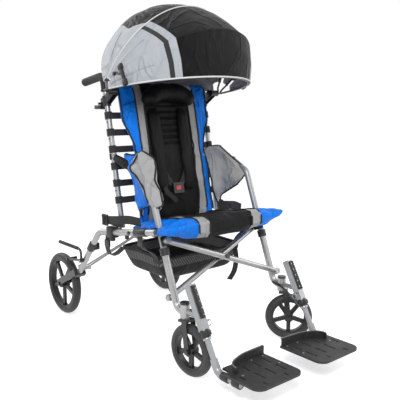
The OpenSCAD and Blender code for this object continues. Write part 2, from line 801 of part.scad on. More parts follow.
module hanger(side) color("gray") place() sided(side) {
    top = at_side(hanger_top_y, hanger_top_z);
    low = at_side(hanger_low_y, hanger_low_z);
    bar_z = housing_low_z + housing_h / 2;
    bar_y = hanger_top_y + (bar_z - hanger_top_z) * hanger_dir[1] / hanger_dir[2];
    difference() {
        union() {
            bar(top, low, hanger_w, hanger_w);
            rod([side_half, caster_y - housing_d / 2 - gap, bar_z], [side_half, bar_y, bar_z], hanger_bar_d);
        }
        rod(top - hanger_dir * cut, low + hanger_dir * cut, footrest_d + 2 * slip);
    }
}

module footrest_tube(side) color("gray") place() sided(side) {
    low = at_side(hanger_low_y, hanger_low_z);
    corner = at_side(corner_y, plate_hinge_z);
    bent_tube([low - hanger_dir * footrest_in, corner, at_side(tube_front_y, plate_hinge_z)],
        footrest_bend_r, footrest_d);
}

module footplate(side) color(black) place() sided(side) {
    low_z = plate_top_z - plate_t;
    slot_pitch = plate_w / (plate_slots + 1);
    inner = plate_x - plate_w;
    deep = plate_t + 2 * cut;
    clip = plate_corner * sqrt(2);
    difference() {
        union() {
            difference() {
                translate([inner, front_y, low_z]) cube([plate_w + plate_out, plate_l, plate_t]);
                translate([plate_x, plate_rear_y - plate_notch, low_z - cut])
                    cube([plate_out + cut, plate_notch + cut, deep]);
                for (x = [inner, plate_x + plate_out]) translate([x, front_y, low_z + plate_t / 2])
                    rotate([0, 0, 45]) cube([clip, clip, deep], center = true);
                for (i = [1 : plate_slots]) translate([inner + i * slot_pitch - plate_slot_w / 2,
                    front_y + (plate_l - plate_slot_l) / 2, low_z - cut])
                    cube([plate_slot_w, plate_slot_l, deep]);
            }
            translate([inner, plate_rear_y - plate_lip_t, low_z])
                cube([plate_w, plate_lip_t, plate_t + plate_lip_h]);
            for (d = plate_hub_places) let (y = corner_y - d - plate_hub_l / 2)
                rod(at_side(y, plate_hinge_z), at_side(y + plate_hub_l, plate_hinge_z), plate_hub_d);
        }
        rod(at_side(front_y - cut, plate_hinge_z), at_side(plate_rear_y + cut, plate_hinge_z),
            footrest_d + 2 * slip);
    }
}

// Soft pieces

// Half width of the seat: wide nose, a neck between the legs, then out to the rails
function seat_half(y) = lookup(y, [
    [seat_front_y, seat_nose - seat_crown],
    [seat_front_y + seat_crown, seat_nose],
    [rail_front_y - seat_crown, seat_nose],
    [rail_front_y, seat_neck],
    [rail_front_y + 3 * seat_crown, seat_neck],
    [rail_front_y + 4 * seat_crown, seat_side],
    [seat_back_y - seat_crown, seat_side],
    [seat_back_y, seat_side - seat_crown]
]);

function seat_y(t) = lerp(seat_front_y, seat_back_y, t);

function swell(s) = 1 - pow(abs(s), edge_power);

function seat_nose_share(t) = max(0, 1 - 3 * t);

function seat_point(s, t, top) =
    let (y = seat_y(t), x = s * seat_half(y), deck = rail_z(y) + seat_rise,
        puff = seat_crown * swell(s) * swell(2 * t - 1) - seat_crown,
        flat = min(1, abs(x) / seat_neck),
        full = lerp(1, lobe_share, flat * flat) * (1 - pow(abs(s), lobe_power)),
        hang = seat_drop * full * seat_nose_share(t))
    [x, y, top ? deck + puff : deck - seat_t * lerp(pad_edge_share, 1, swell(2 * t - 1)) - hang];

function seat_grid(top) = [
    for (i = [0 : seat_steps]) [
        for (j = [0 : seat_cells]) seat_point(2 * j / seat_cells - 1, i / seat_steps, top)
    ]
];

module seat_cushion() color(cloth_blue) place() skin(seat_grid(true), seat_grid(false));

function back_z(t) = lerp(back_low_z, back_top_z, t);

// Half width of the back: narrow between the arms, wide above them
function back_half_at(t) = lookup(back_z(t), [
    [arm_join_z + wing_above, back_half],
    [arm_join_z + wing_above + wing_ramp, back_half + wing_out]
]);

function back_rear(s, t) = cane_y(back_z(t)) - back_set - wing_reach * pow(abs(s), wing_power);

function channel(s, t) = channel_depth * pow(abs(cos(180 * t * (channels + 1))), edge_power)
    * max(0, 1 - pow(abs(2 * s), edge_power));

function back_front(s, t) = back_rear(s, t)
    - back_t * lerp(pad_edge_share, 1, swell(s) * swell(2 * t - 1)) + channel(s, t);

// The back pad's grid of points, front or rear
function back_grid(front) = [
    for (i = [0 : back_steps]) [
        for (j = [0 : back_cells])
            let (s = 2 * j / back_cells - 1, t = i / back_steps)
            [s * back_half_at(t), front ? back_front(s, t) : back_rear(s, t), back_z(t)]
    ]
];

module back_pad() color(black) place() skin(back_grid(true), back_grid(false));

// Y of a point clear of the back pad's front, at a height z
function before_back(z) = cane_y(z) - back_set - back_t - gap;

module head_pillow() color(black) place()
    translate([0, before_back(pillow_z) - pillow_d / 2, pillow_z]) rotate([90 - cane_tilt, 0, 0])
        rotate([0, 0, (180 - pillow_turn) / 2]) rotate_extrude(angle = pillow_turn)
            translate([pillow_r, 0]) circle(d = pillow_d);

function strap_point(side, across, t, out) =
    let (z = lerp(strap_low_z, strap_top_z, t), x = lerp(strap_low_x, strap_top_x, t) + across * strap_w / 2)
    [side * x, before_back(z) - out * strap_t, z];

module shoulder_strap(side) sided(side) skin(
    [for (i = [0 : strap_steps]) [for (across = [-1, 1]) strap_point(1, across, i / strap_steps, 1)]],
    [for (i = [0 : strap_steps]) [for (across = [-1, 1]) strap_point(1, across, i / strap_steps, 0)]]);

module harness() color(black) place() {
    for (side = [-1, 1]) shoulder_strap(side);
}

module buckle_place() place() translate([0, before_back(buckle_z), buckle_z]) rotate([-cane_tilt, 0, 0])
    translate([0, -buckle_t, 0]) children();

module buckle() color(black) buckle_place() difference() {
    translate([-buckle_w / 2, 0, -buckle_h / 2]) cube([buckle_w, buckle_t, buckle_h]);
    translate([-button_w / 2 - gap, -cut, -button_h / 2 - gap])
        cube([button_w + 2 * gap, button_t + button_travel + gap + cut, button_h + 2 * gap]);
}

module buckle_button() color("red") buckle_place()
    translate([-button_w / 2, 0, -button_h / 2]) cube([button_w, button_t, button_h]);

// A padded leaf between the arm, the leg and the cane
function panel_corner(k) =
    k == 0 ? on_leg(arm_bend_up)
    : k == 1 ? at_side(cane_y(arm_join_z), arm_join_z)
    : k == 2 ? at_side(cane_foot_y, panel_low_z)
    : on_leg((panel_low_z - brace_pivot_z) / cos(leg_lean));

panel_u_shares = [0.07, 0.90];
panel_v_shares = [0.10, 1];

function panel_at(u, v) = lerp(
    lerp(panel_corner(3), panel_corner(2), u), lerp(panel_corner(0), panel_corner(1), u), v);

function panel_point(i, j, out) =
    let (a = i / panel_steps, b = j / panel_steps,
        p = panel_at(lerp(panel_u_shares[0], panel_u_shares[1], a),
            lerp(panel_v_shares[0], panel_v_shares[1], b)),
        deep = panel_t * lerp(pad_edge_share / 2, 1, swell(2 * a - 1) * swell(2 * b - 1)))
    [panel_x - out * deep, p[1], p[2]];

module side_panel(side) color(cloth_grey) place() sided(side) skin(
    [for (i = [0 : panel_steps]) [for (j = [0 : panel_steps]) panel_point(i, j, 0)]],
    [for (i = [0 : panel_steps]) [for (j = [0 : panel_steps]) panel_point(i, j, 1)]]);

module basket() color(black) place() {
    mid_y = (basket_front_y + basket_back_y) / 2;
    half_y = (basket_back_y - basket_front_y) / 2;
    difference() {
        basket_body(mid_y, half_y, 0, basket_low_z);
        basket_body(mid_y, half_y, basket_t, basket_low_z + basket_t);
    }
    for (side = [-1, 1], s = tab_shares) let (y = lerp(basket_front_y, basket_back_y, s)) sided(side) hull() {
        translate([basket_half - tab_t, y - tab_w / 2, basket_top_z - tab_w]) cube([tab_t, tab_w, tab_w]);
        translate([rail_x - tab_t / 2, y - tab_w / 2, rail_z(y + tab_w / 2) - rail_d / 2 - 2 * gap - tab_t])
            cube([tab_t, tab_w, tab_t]);
    }
}

// A tapered tub, inset from the outer walls
module basket_body(mid_y, half_y, inset, low_z) hull() {
    half = [basket_half - inset - basket_t, half_y - inset - basket_t];
    for (x = [-1, 1], y = [-1, 1]) {
        translate([x * half[0], mid_y + y * half[1], basket_top_z])
            cylinder(r = basket_t, h = inset > 0 ? cut : gap, $fn = 16);
        translate([x * half[0] * basket_floor_share, mid_y + y * half[1] * basket_floor_share, low_z])
            cylinder(r = basket_t, h = gap, $fn = 16);
    }
}

// Canopy

// Reach of the cloth from the hinge at an angle above straight ahead
function reach(angle) = lookup(angle, [
    [lip_angle, lip_reach], [peak_angle, peak_reach], [brow_angle, brow_reach],
    [crown_angle, crown_reach], [dome_angle, dome_reach], [rear_angle, rear_reach]
]);

function turned(x, r, angle) = [x, canopy_y - r * cos(angle), canopy_z + r * sin(angle)];

// A point of the cloth at a slant across it; layer counts the panels outwards
function cloth_point(slant, angle, layer, sag, depth) =
    let (out = layer * (canopy_t + 2 * gap) - depth,
        half = canopy_half + layer * hinge_step,
        x = (half + out) * sign(slant) * pow(abs(sin(slant)), 2 / canopy_power),
        r = (reach(angle) - sag + out) * pow(cos(slant), 2 / canopy_power))
    turned(x, r, angle);

function cloth_slant(j) = lerp(-canopy_side, canopy_side, j / canopy_cells);

function panel_grid(from, to, layer, depth) = [
    for (i = [0 : canopy_steps]) [
        for (j = [0 : canopy_cells])
            let (f = i / canopy_steps)
            cloth_point(cloth_slant(j), lerp(from, to, f), layer, canopy_sag * sin(180 * f), depth)
    ]
];

module canopy_panel(from, to, layer) place()
    skin(panel_grid(from, to, layer, 0), panel_grid(from, to, layer, canopy_t));

module canopy_rear() color(cloth_grey) canopy_panel(crown_angle, rear_angle, 0);

module canopy_mid() color(black) canopy_panel(brow_angle, crown_angle, 1);

module canopy_visor() color(black) canopy_panel(lip_angle, brow_angle, 2);

// A bow: a round rod under the cloth's edge, with a flat lug and an eye on each hinge pin
module bow(angle, layer, clear) color(frame_grey) place() {
    depth = canopy_t + clear + bow_d / 2;
    radial = turned(0, 1, angle) - turned(0, 0, angle);
    side_dir = cross(radial, [1, 0, 0]);
    pin = [canopy_half + layer * hinge_step, canopy_y, canopy_z];
    foot = pin + radial * (hinge_eye_d / 2 + bow_d);
    slants = concat([-bow_side], [for (j = [0 : canopy_cells]) cloth_slant(j)], [bow_side]);
    path = concat([mirrored(foot)],
        [for (slant = slants) cloth_point(slant, angle, layer, 0, depth)], [foot]);
    last = len(path) - 1;
    points = [for (i = [0 : last])
        let (ahead = unit(path[min(i + 1, last)] - path[max(i - 1, 0)]), up = cross(ahead, side_dir))
        for (k = [0 : bow_sides - 1]) path[i]
            + (side_dir * cos(k * 360 / bow_sides) + up * sin(k * 360 / bow_sides)) * bow_d / 2];
    faces = [
        [for (k = [0 : bow_sides - 1]) k],
        [for (k = [bow_sides - 1 : -1 : 0]) last * bow_sides + k],
        for (i = [0 : last - 1], k = [0 : bow_sides - 1])
            let (a = i * bow_sides + k, b = i * bow_sides + (k + 1) % bow_sides)
            each [[a, a + bow_sides, b], [b, a + bow_sides, b + bow_sides]]
    ];
    polyhedron(points, faces);
    for (side = [-1, 1]) sided(side) {
        ring(pin, [1, 0, 0], hinge_eye_d, hinge_pin_d + 2 * slip, hinge_eye_t);
        bar(pin + radial * (hinge_eye_d + hinge_pin_d) / 4, foot + radial * bow_d, hinge_eye_t, bow_lug_w);
    }
}

module rear_bow() bow(crown_angle, 0, crown_clear);

module mid_bow() bow(brow_angle, 1, brow_clear);

module visor_bow() bow(lip_angle, 2, lip_clear);

front_leg(1);  // left_front_leg
front_leg(-1);  // right_front_leg
arm_tube(1);  // left_arm_tube
arm_tube(-1);  // right_arm_tube
leg_collar(1);  // left_leg_collar
leg_collar(-1);  // right_leg_collar
runner(1);  // left_runner
runner(-1);  // right_runner
seat_rail(1);  // left_seat_rail
seat_rail(-1);  // right_seat_rail
frame_joints(1);  // left_frame_joints
frame_joints(-1);  // right_frame_joints
back_cane(1);  // left_back_cane
back_cane(-1);  // right_back_cane
push_grip(1);  // left_push_grip
push_grip(-1);  // right_push_grip
back_straps(1);  // left_back_straps
back_straps(-1);  // right_back_straps
canopy_clamp(1);  // left_canopy_clamp
canopy_clamp(-1);  // right_canopy_clamp
caster_fork(1);  // left_caster_fork
caster_fork(-1);  // right_caster_fork
front_tyre(1);  // left_front_tyre
front_tyre(-1);  // right_front_tyre
front_rim(1);  // left_front_rim
front_rim(-1);  // right_front_rim
rear_fork(1);  // left_rear_fork
rear_fork(-1);  // right_rear_fork
rear_tyre(1);  // left_rear_tyre
rear_tyre(-1);  // right_rear_tyre
rear_rim(1);  // left_rear_rim
rear_rim(-1);  // right_rear_rim
brake_pedal(1);  // left_brake_pedal
brake_pedal(-1);  // right_brake_pedal
rear_link(1);  // left_rear_link
rear_link(-1);  // right_rear_link
hanger(1);  // left_hanger
hanger(-1);  // right_hanger
footrest_tube(1);  // left_footrest_tube
footrest_tube(-1);  // right_footrest_tube
footplate(1);  // left_footplate
footplate(-1);  // right_footplate
side_panel(1);  // left_side_panel
side_panel(-1);  // right_side_panel
rear_brace();
front_brace();
brace_bolt();
seat_cushion();
back_pad();
head_pillow();
harness();
buckle();
buckle_button();
basket();
canopy_rear();
canopy_mid();
canopy_visor();
rear_bow();
mid_bow();
visor_bow();
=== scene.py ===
import json
import math

import bmesh
import bpy
from mathutils import Matrix, Vector, noise


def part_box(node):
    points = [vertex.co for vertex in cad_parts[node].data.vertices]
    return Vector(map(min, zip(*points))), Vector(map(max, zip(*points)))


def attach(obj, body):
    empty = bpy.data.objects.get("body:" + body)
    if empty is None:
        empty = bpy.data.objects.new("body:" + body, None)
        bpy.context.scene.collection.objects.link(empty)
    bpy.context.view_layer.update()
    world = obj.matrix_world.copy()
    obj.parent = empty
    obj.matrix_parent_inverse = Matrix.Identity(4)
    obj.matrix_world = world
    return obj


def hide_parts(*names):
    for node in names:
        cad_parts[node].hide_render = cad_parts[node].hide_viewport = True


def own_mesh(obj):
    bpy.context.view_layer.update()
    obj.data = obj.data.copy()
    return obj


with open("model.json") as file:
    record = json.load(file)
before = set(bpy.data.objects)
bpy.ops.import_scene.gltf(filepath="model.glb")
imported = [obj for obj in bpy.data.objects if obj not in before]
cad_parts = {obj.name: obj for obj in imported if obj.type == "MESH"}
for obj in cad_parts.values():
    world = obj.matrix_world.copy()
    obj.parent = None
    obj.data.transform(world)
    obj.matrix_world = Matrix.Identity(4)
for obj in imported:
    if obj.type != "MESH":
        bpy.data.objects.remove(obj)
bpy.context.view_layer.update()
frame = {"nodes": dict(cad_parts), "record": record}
nodes = frame["nodes"]
scene = bpy.context.scene
scene.view_settings.view_transform = "Standard"
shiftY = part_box("left_back_cane")[0].y - 0.00921  # the cane's foot in the drawing
print("frame loaded:", len(nodes), "nodes")


# drawing

drawing = {
    "sideHalf": 250, "railX": 282, "legLean": 20.6, "pivotY": -317, "pivotZ": 268,
    "railFrontY": -252, "railFrontZ": 495, "railSlope": -64 / 402,
    "caneFootY": 20, "caneFootZ": 466, "caneSlope": 106 / 534,
    "armCornerUp": 438, "armCaneZ": 745, "foldKeep": 0.738,
}
caneTilt = math.atan(drawing["caneSlope"])
foldSide = {"right": -1, "left": 1}
acrossX = Vector((1, 0, 0))


def at(x, y, z):  # drawing millimetres to metres in the shared frame
    return Vector((x / 1000, y / 1000 + shiftY, z / 1000))


def drawnY(place):  # and back, for the drawing's y
    return (place.y - shiftY) * 1000


def mix(a, b, t):
    return a + (b - a) * t


def clampUnit(t):
    return max(0.0, min(1.0, t))


def spread(low, high, count):  # evenly spaced values, both ends included
    return [mix(low, high, i / count) for i in range(count + 1)]


def stepsOf(x, table):  # straight lines between (place, value) pairs
    if x <= table[0][0]:
        return table[0][1]
    for (x0, y0), (x1, y1) in zip(table, table[1:]):
        if x <= x1:
            return mix(y0, y1, (x - x0) / (x1 - x0))
    return table[-1][1]


def railZ(y):
    return drawing["railFrontZ"] + (y - drawing["railFrontY"]) * drawing["railSlope"]


def onRail(side, y, up=0, out=0):
    return at(side * (drawing["railX"] + out), y, railZ(y) + up)


def caneY(z):
    return drawing["caneFootY"] + (z - drawing["caneFootZ"]) * drawing["caneSlope"]


def onCane(side, z, back=0, out=0):
    return at(side * (drawing["sideHalf"] + out), caneY(z) + back, z)


def armEnds(side):  # the arm tube, from its corner on the leg to the cane
    lean, up = math.radians(drawing["legLean"]), drawing["armCornerUp"]
    corner = at(side * drawing["sideHalf"], drawing["pivotY"] + up * math.sin(lean),
                drawing["pivotZ"] + up * math.cos(lean))
    return corner, onCane(side, drawing["armCaneZ"])


# shader nodes

def gray(value):
    return (value, value, value, 1)


def put(tree, kind, values=None, **settings):  # a node with its settings, values and links in one line
    node = tree.nodes.new(kind)
    for key, value in settings.items():
        setattr(node, key, value)
    for key, value in (values or {}).items():
        if isinstance(value, bpy.types.NodeSocket):
            tree.links.new(value, node.inputs[key])
        else:
            node.inputs[key].default_value = value
    return node


def calc(tree, operation, a, b=0.0, clamp=False):
    return put(tree, "ShaderNodeMath", {0: a, 1: b}, operation=operation, use_clamp=clamp).outputs[0]


def times(tree, a, b):
    return calc(tree, "MULTIPLY", a, b)


def plus(tree, a, b, clamp=False):
    return calc(tree, "ADD", a, b, clamp)


# camera and light

view = {"azimuth": -39.9, "elevation": 8.9, "distance": 2.38, "target": (48, -101, 562),
        "focal": 580, "pixels": 400, "sensor": 36}
studio = {
    "worldLight": 0.50,
    "lamps": [  # name, place, aim, size, watts
        ("keyLamp", (-1.9, -2.0, 2.6), (0, 0, 0.6), 1.1, 62),
        ("fillLamp", (2.3, -1.6, 1.7), (0, 0, 0.6), 1.8, 22),
        ("backLamp", (-0.8, 2.4, 2.2), (0, 0, 0.7), 1.8, 24),
    ],
    "floorColor": 0.86, "floorGlow": 0.60, "floorRadius": 30,
}


def aimAt(name, data, place, target):
    obj = bpy.data.objects.new(name, data)
    obj.location = place
    obj.rotation_mode = "QUATERNION"
    obj.rotation_quaternion = (Vector(target) - Vector(place)).to_track_quat("-Z", "Y")
    scene.collection.objects.link(obj)
    return obj


def makeCamera():
    a, e = math.radians(view["azimuth"]), math.radians(view["elevation"])
    back = Vector((math.sin(a) * math.cos(e), -math.cos(a) * math.cos(e), math.sin(e)))
    data = bpy.data.cameras.new("photoView")
    data.sensor_width = view["sensor"]
    data.lens = view["focal"] / view["pixels"] * view["sensor"]
    target = at(*view["target"])
    scene.camera = aimAt("photoView", data, target + back * view["distance"], target)


def lightPathWhite(tree):  # 1 for camera, mirror and glass rays, so the backdrop shows as white to them
    path = put(tree, "ShaderNodeLightPath").outputs
    seen = calc(tree, "MAXIMUM", path["Is Camera Ray"], path["Is Glossy Ray"])
    return calc(tree, "MAXIMUM", seen, path["Is Transmission Ray"])


def makeStudio():
    world = bpy.data.worlds.new("studio")
    scene.world = world
    world.use_nodes = True
    tree = world.node_tree
    strength = put(tree, "ShaderNodeMapRange", {"Value": lightPathWhite(tree), "To Min": studio["worldLight"],
                                                "To Max": 1.0})
    sky = tree.nodes["Background"].inputs
    sky["Color"].default_value = gray(1)
    tree.links.new(strength.outputs["Result"], sky["Strength"])
    for name, place, target, size, watts in studio["lamps"]:
        data = bpy.data.lights.new(name, "AREA")
        data.shape = "DISK"
        data.size = size
        data.energy = watts
        aimAt(name, data, place, target)


def makeFloor():
    bm = bmesh.new()
    bmesh.ops.create_circle(bm, cap_ends=True, segments=96, radius=studio["floorRadius"])
    mesh = bpy.data.meshes.new("floor")
    bm.to_mesh(mesh)
    bm.free()
    floor = bpy.data.objects.new("floor", mesh)
    scene.collection.objects.link(floor)
    mat = bpy.data.materials.new("paleFloor")
    mat.use_nodes = True
    tree = mat.node_tree
    tree.nodes.remove(tree.nodes["Principled BSDF"])
    matte = put(tree, "ShaderNodeBsdfDiffuse", {"Color": gray(studio["floorColor"])})
    glow = put(tree, "ShaderNodeEmission", {"Strength": times(tree, lightPathWhite(tree), studio["floorGlow"])})
    both = put(tree, "ShaderNodeAddShader", {0: matte.outputs[0], 1: glow.outputs[0]})
    tree.links.new(both.outputs[0], tree.nodes["Material Output"].inputs["Surface"])
    mesh.materials.append(mat)


makeCamera()
makeStudio()
makeFloor()
print("camera and studio set")


# effects shared by the finishes

def addGroup(name, colors, numbers):
    tree = bpy.data.node_groups.new(name, "ShaderNodeTree")
    for kind, inputs in (("NodeSocketColor", colors), ("NodeSocketFloat", numbers)):
        for label, value in inputs.items():
            tree.interface.new_socket(name=label, in_out="INPUT", socket_type=kind).default_value = value
    for label, kind in (("Color", "NodeSocketColor"), ("Roughness", "NodeSocketFloat"),
                        ("Height", "NodeSocketFloat")):
        tree.interface.new_socket(name=label, in_out="OUTPUT", socket_type=kind)
    return tree, put(tree, "NodeGroupInput").outputs, put(tree, "ShaderNodeTexCoord").outputs["Object"]


def closeGroup(tree, color, rough, height):
    put(tree, "NodeGroupOutput", {"Color": color, "Roughness": rough, "Height": height})
    return tree


def cloudy(tree, place, scale, detail):
    return put(tree, "ShaderNodeTexNoise", {"Vector": place, "Scale": scale, "Detail": detail}).outputs["Fac"]


def striped(tree, place, scale, way, distortion=0.0):
    return put(tree, "ShaderNodeTexWave", {"Vector": place, "Scale": scale, "Distortion": distortion},
               bands_direction=way).outputs["Fac"]


def tinted(tree, share, first, second):
    return put(tree, "ShaderNodeMix", {"Factor": share, "A": first, "B": second}, data_type="RGBA").outputs["Result"]


def stretched(tree, place, **values):
    return put(tree, "ShaderNodeMapping", {"Vector": place, **values}).outputs["Vector"]


def ridges(tree, place, scale, power):  # sharp lines where a noise crosses its middle
    noisy = put(tree, "ShaderNodeTexNoise", {"Vector": place, "Scale": scale, "Detail": 3.0,
                                             "Roughness": 0.5, "Distortion": 0.7}).outputs["Fac"]
    off = calc(tree, "ABSOLUTE", calc(tree, "SUBTRACT", noisy, 0.5))
    return calc(tree, "POWER", calc(tree, "SUBTRACT", 1.0, times(tree, off, 4.0), clamp=True), power)


def makeClothGroup():  # weave, long creases with painted shade along them, and blotches of uneven tone
    tree, given, place = addGroup("clothWeave", {"Color": gray(1), "Shade": gray(0)}, {
        "Threads": 140.0, "Creases": 9.0, "Crease Depth": 0.6, "Rough": 0.7})
    weave = times(tree, *(striped(tree, place, given["Threads"], way) for way in "XZ"))
    slanted = stretched(tree, place, Scale=(1.0, 1.0, 0.45), Rotation=(0.3, 0.5, 0.2))
    crease = ridges(tree, slanted, given["Creases"], 5.0)
    blotch = calc(tree, "SUBTRACT", cloudy(tree, place, 7.0, 4.0), 0.35)
    # painted shade: the crease lines pull the colour towards Shade, mixed with blotches of uneven tone
    shade = plus(tree, times(tree, crease, 0.12), times(tree, blotch, 0.7), clamp=True)
    return closeGroup(tree, tinted(tree, shade, given["Color"], given["Shade"]),
                      plus(tree, given["Rough"], times(tree, weave, -0.08), clamp=True),
                      plus(tree, times(tree, crease, given["Crease Depth"]), times(tree, weave, 0.10)))


def makeGrainGroup():  # moulded grain with worn scuffs
    tree, given, place = addGroup("mouldedGrain", {"Color": gray(0), "Scuff": gray(0.1)}, {
        "Grain": 900.0, "Rough": 0.45})
    grain = put(tree, "ShaderNodeTexVoronoi", {"Vector": place, "Scale": given["Grain"]}).outputs["Distance"]
    cloud = cloudy(tree, place, 18.0, 5.0)
    worn = times(tree, ridges(tree, place, 30.0, 9.0), times(tree, cloud, 0.55))
    uneven = times(tree, calc(tree, "SUBTRACT", cloud, 0.5), 0.3)
    return closeGroup(tree, tinted(tree, worn, given["Color"], given["Scuff"]),
                      plus(tree, given["Rough"], uneven, clamp=True), grain)


def makeMetalGroup():  # drawn streaks, dull clouds and flutes along the tube
    tree, given, place = addGroup("drawnMetal", {"Color": gray(0.7), "Dull": gray(0.5)}, {
        "Flutes": 0.0, "Rough": 0.3})
    streak = cloudy(tree, stretched(tree, place, Scale=(260.0, 40.0, 14.0)), 1.0, 3.0)
    uneven = times(tree, calc(tree, "SUBTRACT", streak, 0.5), 0.25)
    flutes = times(tree, striped(tree, place, 62.0, "X"), given["Flutes"])
    return closeGroup(tree, tinted(tree, cloudy(tree, place, 12.0, 4.0), given["Color"], given["Dull"]),
                      plus(tree, given["Rough"], uneven, clamp=True), plus(tree, times(tree, streak, 0.02), flutes))


def makeRibGroup():  # webbing and foam: fine ribs across, with a coarser nap
    tree, given, place = addGroup("ribbedNap", {"Color": gray(0), "Light": gray(0.1)}, {
        "Ribs": 120.0, "Nap": 300.0})
    rib = striped(tree, place, given["Ribs"], "DIAGONAL", 0.4)
    nap = cloudy(tree, place, given["Nap"], 3.0)
    return closeGroup(tree, tinted(tree, times(tree, rib, nap), given["Color"], given["Light"]),
                      plus(tree, 0.72, times(tree, nap, 0.2), clamp=True),
                      plus(tree, times(tree, rib, 0.6), times(tree, nap, 0.4)))


effects = {"cloth": makeClothGroup(), "grain": makeGrainGroup(), "metal": makeMetalGroup(), "rib": makeRibGroup()}


# finishes

def makeFinish(name, effect, values, bump, sockets=None):
    mat = bpy.data.materials.new(name)
    mat.use_nodes = True
    tree = mat.node_tree
    shader = tree.nodes["Principled BSDF"].inputs
    surface = put(tree, "ShaderNodeGroup", values, node_tree=effects[effect]).outputs
    depth, strength = bump
    lift = put(tree, "ShaderNodeBump", {"Height": surface["Height"], "Distance": depth, "Strength": strength})
    tree.links.new(surface["Color"], shader["Base Color"])
    tree.links.new(surface["Roughness"], shader["Roughness"])
    tree.links.new(lift.outputs["Normal"], shader["Normal"])
    for key, value in (sockets or {}).items():
        shader[key].default_value = value
    return mat


fabric = {"Sheen Weight": 0.02, "Specular IOR Level": 0.18}
nylon = {"Specular IOR Level": 0.13}
finishTable = {  # effect, its values, bump depth and strength, the shader's own sockets
    "silverTube": ("metal", {"Color": gray(0.42), "Dull": gray(0.32), "Rough": 0.34}, (0.0004, 0.2),
                   {"Metallic": 0.8}),
    "flutedTube": ("metal", {"Color": gray(0.46), "Dull": gray(0.26), "Rough": 0.3, "Flutes": 0.9}, (0.0010, 0.5),
                   {"Metallic": 0.85}),
    "greyTube": ("metal", {"Color": (0.36, 0.37, 0.38, 1), "Dull": (0.29, 0.30, 0.31, 1), "Rough": 0.38},
                 (0.0004, 0.2), {"Metallic": 0.55}),
    "brightPin": ("metal", {"Color": gray(0.75), "Dull": gray(0.6), "Rough": 0.2}, (0.0002, 0.2), {"Metallic": 1.0}),
    "blackPlastic": ("grain", {"Color": gray(0.008), "Scuff": gray(0.028), "Rough": 0.42}, (0.0003, 0.3)),
    "plateTop": ("grain", {"Color": gray(0.014), "Scuff": gray(0.05), "Grain": 420.0, "Rough": 0.5}, (0.0008, 0.5)),
    "blackSteel": ("grain", {"Color": gray(0.009), "Scuff": gray(0.05), "Grain": 1500.0, "Rough": 0.33},
                   (0.0002, 0.2), {"Coat Weight": 0.15}),
    "frontTread": ("grain", {"Color": gray(0.022), "Scuff": gray(0.08), "Grain": 500.0, "Rough": 0.48},
                   (0.0006, 0.4)),
    "rearTread": ("grain", {"Color": gray(0.010), "Scuff": gray(0.045), "Grain": 500.0, "Rough": 0.50},
                  (0.0006, 0.4)),
    "foamGrip": ("rib", {"Color": gray(0.018), "Light": gray(0.05), "Ribs": 4.0, "Nap": 700.0}, (0.0008, 0.35)),
    "webbing": ("rib", {"Color": gray(0.008), "Light": gray(0.035), "Ribs": 170.0}, (0.0006, 0.5),
                {"Sheen Weight": 0.1}),
    "piping": ("rib", {"Color": gray(0.006), "Light": gray(0.02), "Ribs": 220.0}, (0.0003, 0.3)),
    "silverPiping": ("rib", {"Color": gray(0.60), "Light": gray(0.85), "Ribs": 220.0}, (0.0003, 0.3)),
    "blueCloth": ("cloth", {"Color": (0.0, 0.23, 0.95, 1), "Shade": (0.0, 0.14, 0.70, 1), "Creases": 12.0,
                            "Crease Depth": 1.1, "Rough": 0.42}, (0.009, 0.75), fabric),
    "blackCloth": ("cloth", {"Color": gray(0.006), "Shade": gray(0.003), "Threads": 120.0, "Creases": 9.0,
                             "Crease Depth": 0.6, "Rough": 0.55}, (0.004, 0.6), nylon),
    "greyCloth": ("cloth", {"Color": gray(0.43), "Shade": gray(0.27), "Creases": 10.0, "Crease Depth": 1.0,
                            "Rough": 0.5}, (0.008, 0.7), fabric),
    "canopyGrey": ("cloth", {"Color": (0.45, 0.48, 0.51, 1), "Shade": (0.28, 0.31, 0.35, 1), "Creases": 8.0,
                             "Crease Depth": 1.0, "Rough": 0.45}, (0.009, 0.7), fabric),
    "canopyBlack": ("cloth", {"Color": gray(0.005), "Shade": gray(0.002), "Creases": 9.0, "Crease Depth": 1.0,
                              "Rough": 0.36}, (0.012, 0.8), nylon),
    "lining": ("cloth", {"Color": (0.40, 0.40, 0.43, 1), "Shade": (0.22, 0.22, 0.25, 1), "Creases": 7.0,
                         "Crease Depth": 0.6, "Rough": 0.6}, (0.004, 0.5), fabric),
    "basketCloth": ("cloth", {"Color": gray(0.012), "Shade": gray(0.006), "Threads": 60.0, "Creases": 9.0,
                              "Crease Depth": 0.9, "Rough": 0.6}, (0.006, 0.7), fabric),
    "basketMesh": ("rib", {"Color": gray(0.02), "Light": gray(0.28), "Ribs": 60.0, "Nap": 260.0}, (0.001, 0.6)),
    # a light grey with scuffs, for the painted highlight along each footplate guard's top edge
    "guardPaintedHighlight": ("grain", {"Color": gray(0.16), "Scuff": gray(0.30), "Rough": 0.5}, (0.0003, 0.3)),
    "redButton": ("grain", {"Color": (0.60, 0.010, 0.008, 1), "Scuff": (0.8, 0.12, 0.1, 1), "Rough": 0.3},
                  (0.0002, 0.2), {"Coat Weight": 0.3}),
}
finishes = {name: makeFinish(name, *row) for name, row in finishTable.items()}
slotFinish = {
    "silver_tube": "silverTube", "grey_tube": "greyTube", "black_plastic": "blackPlastic", "foam_grip": "foamGrip",
    "front_tread": "frontTread", "rear_tread": "rearTread", "black_steel": "blackSteel",
    "black_webbing": "webbing", "blue_cloth": "blueCloth", "black_cloth": "blackCloth", "grey_cloth": "greyCloth",
    "basket_cloth": "basketCloth", "canopy_grey": "canopyGrey", "canopy_black": "canopyBlack",
    "red_button": "redButton",
}
for part in frame["record"]["subparts"]:
    mesh = nodes[part["node"]].data
    mesh.materials.clear()
    mesh.materials.append(finishes[slotFinish[part["material_slot"]]])
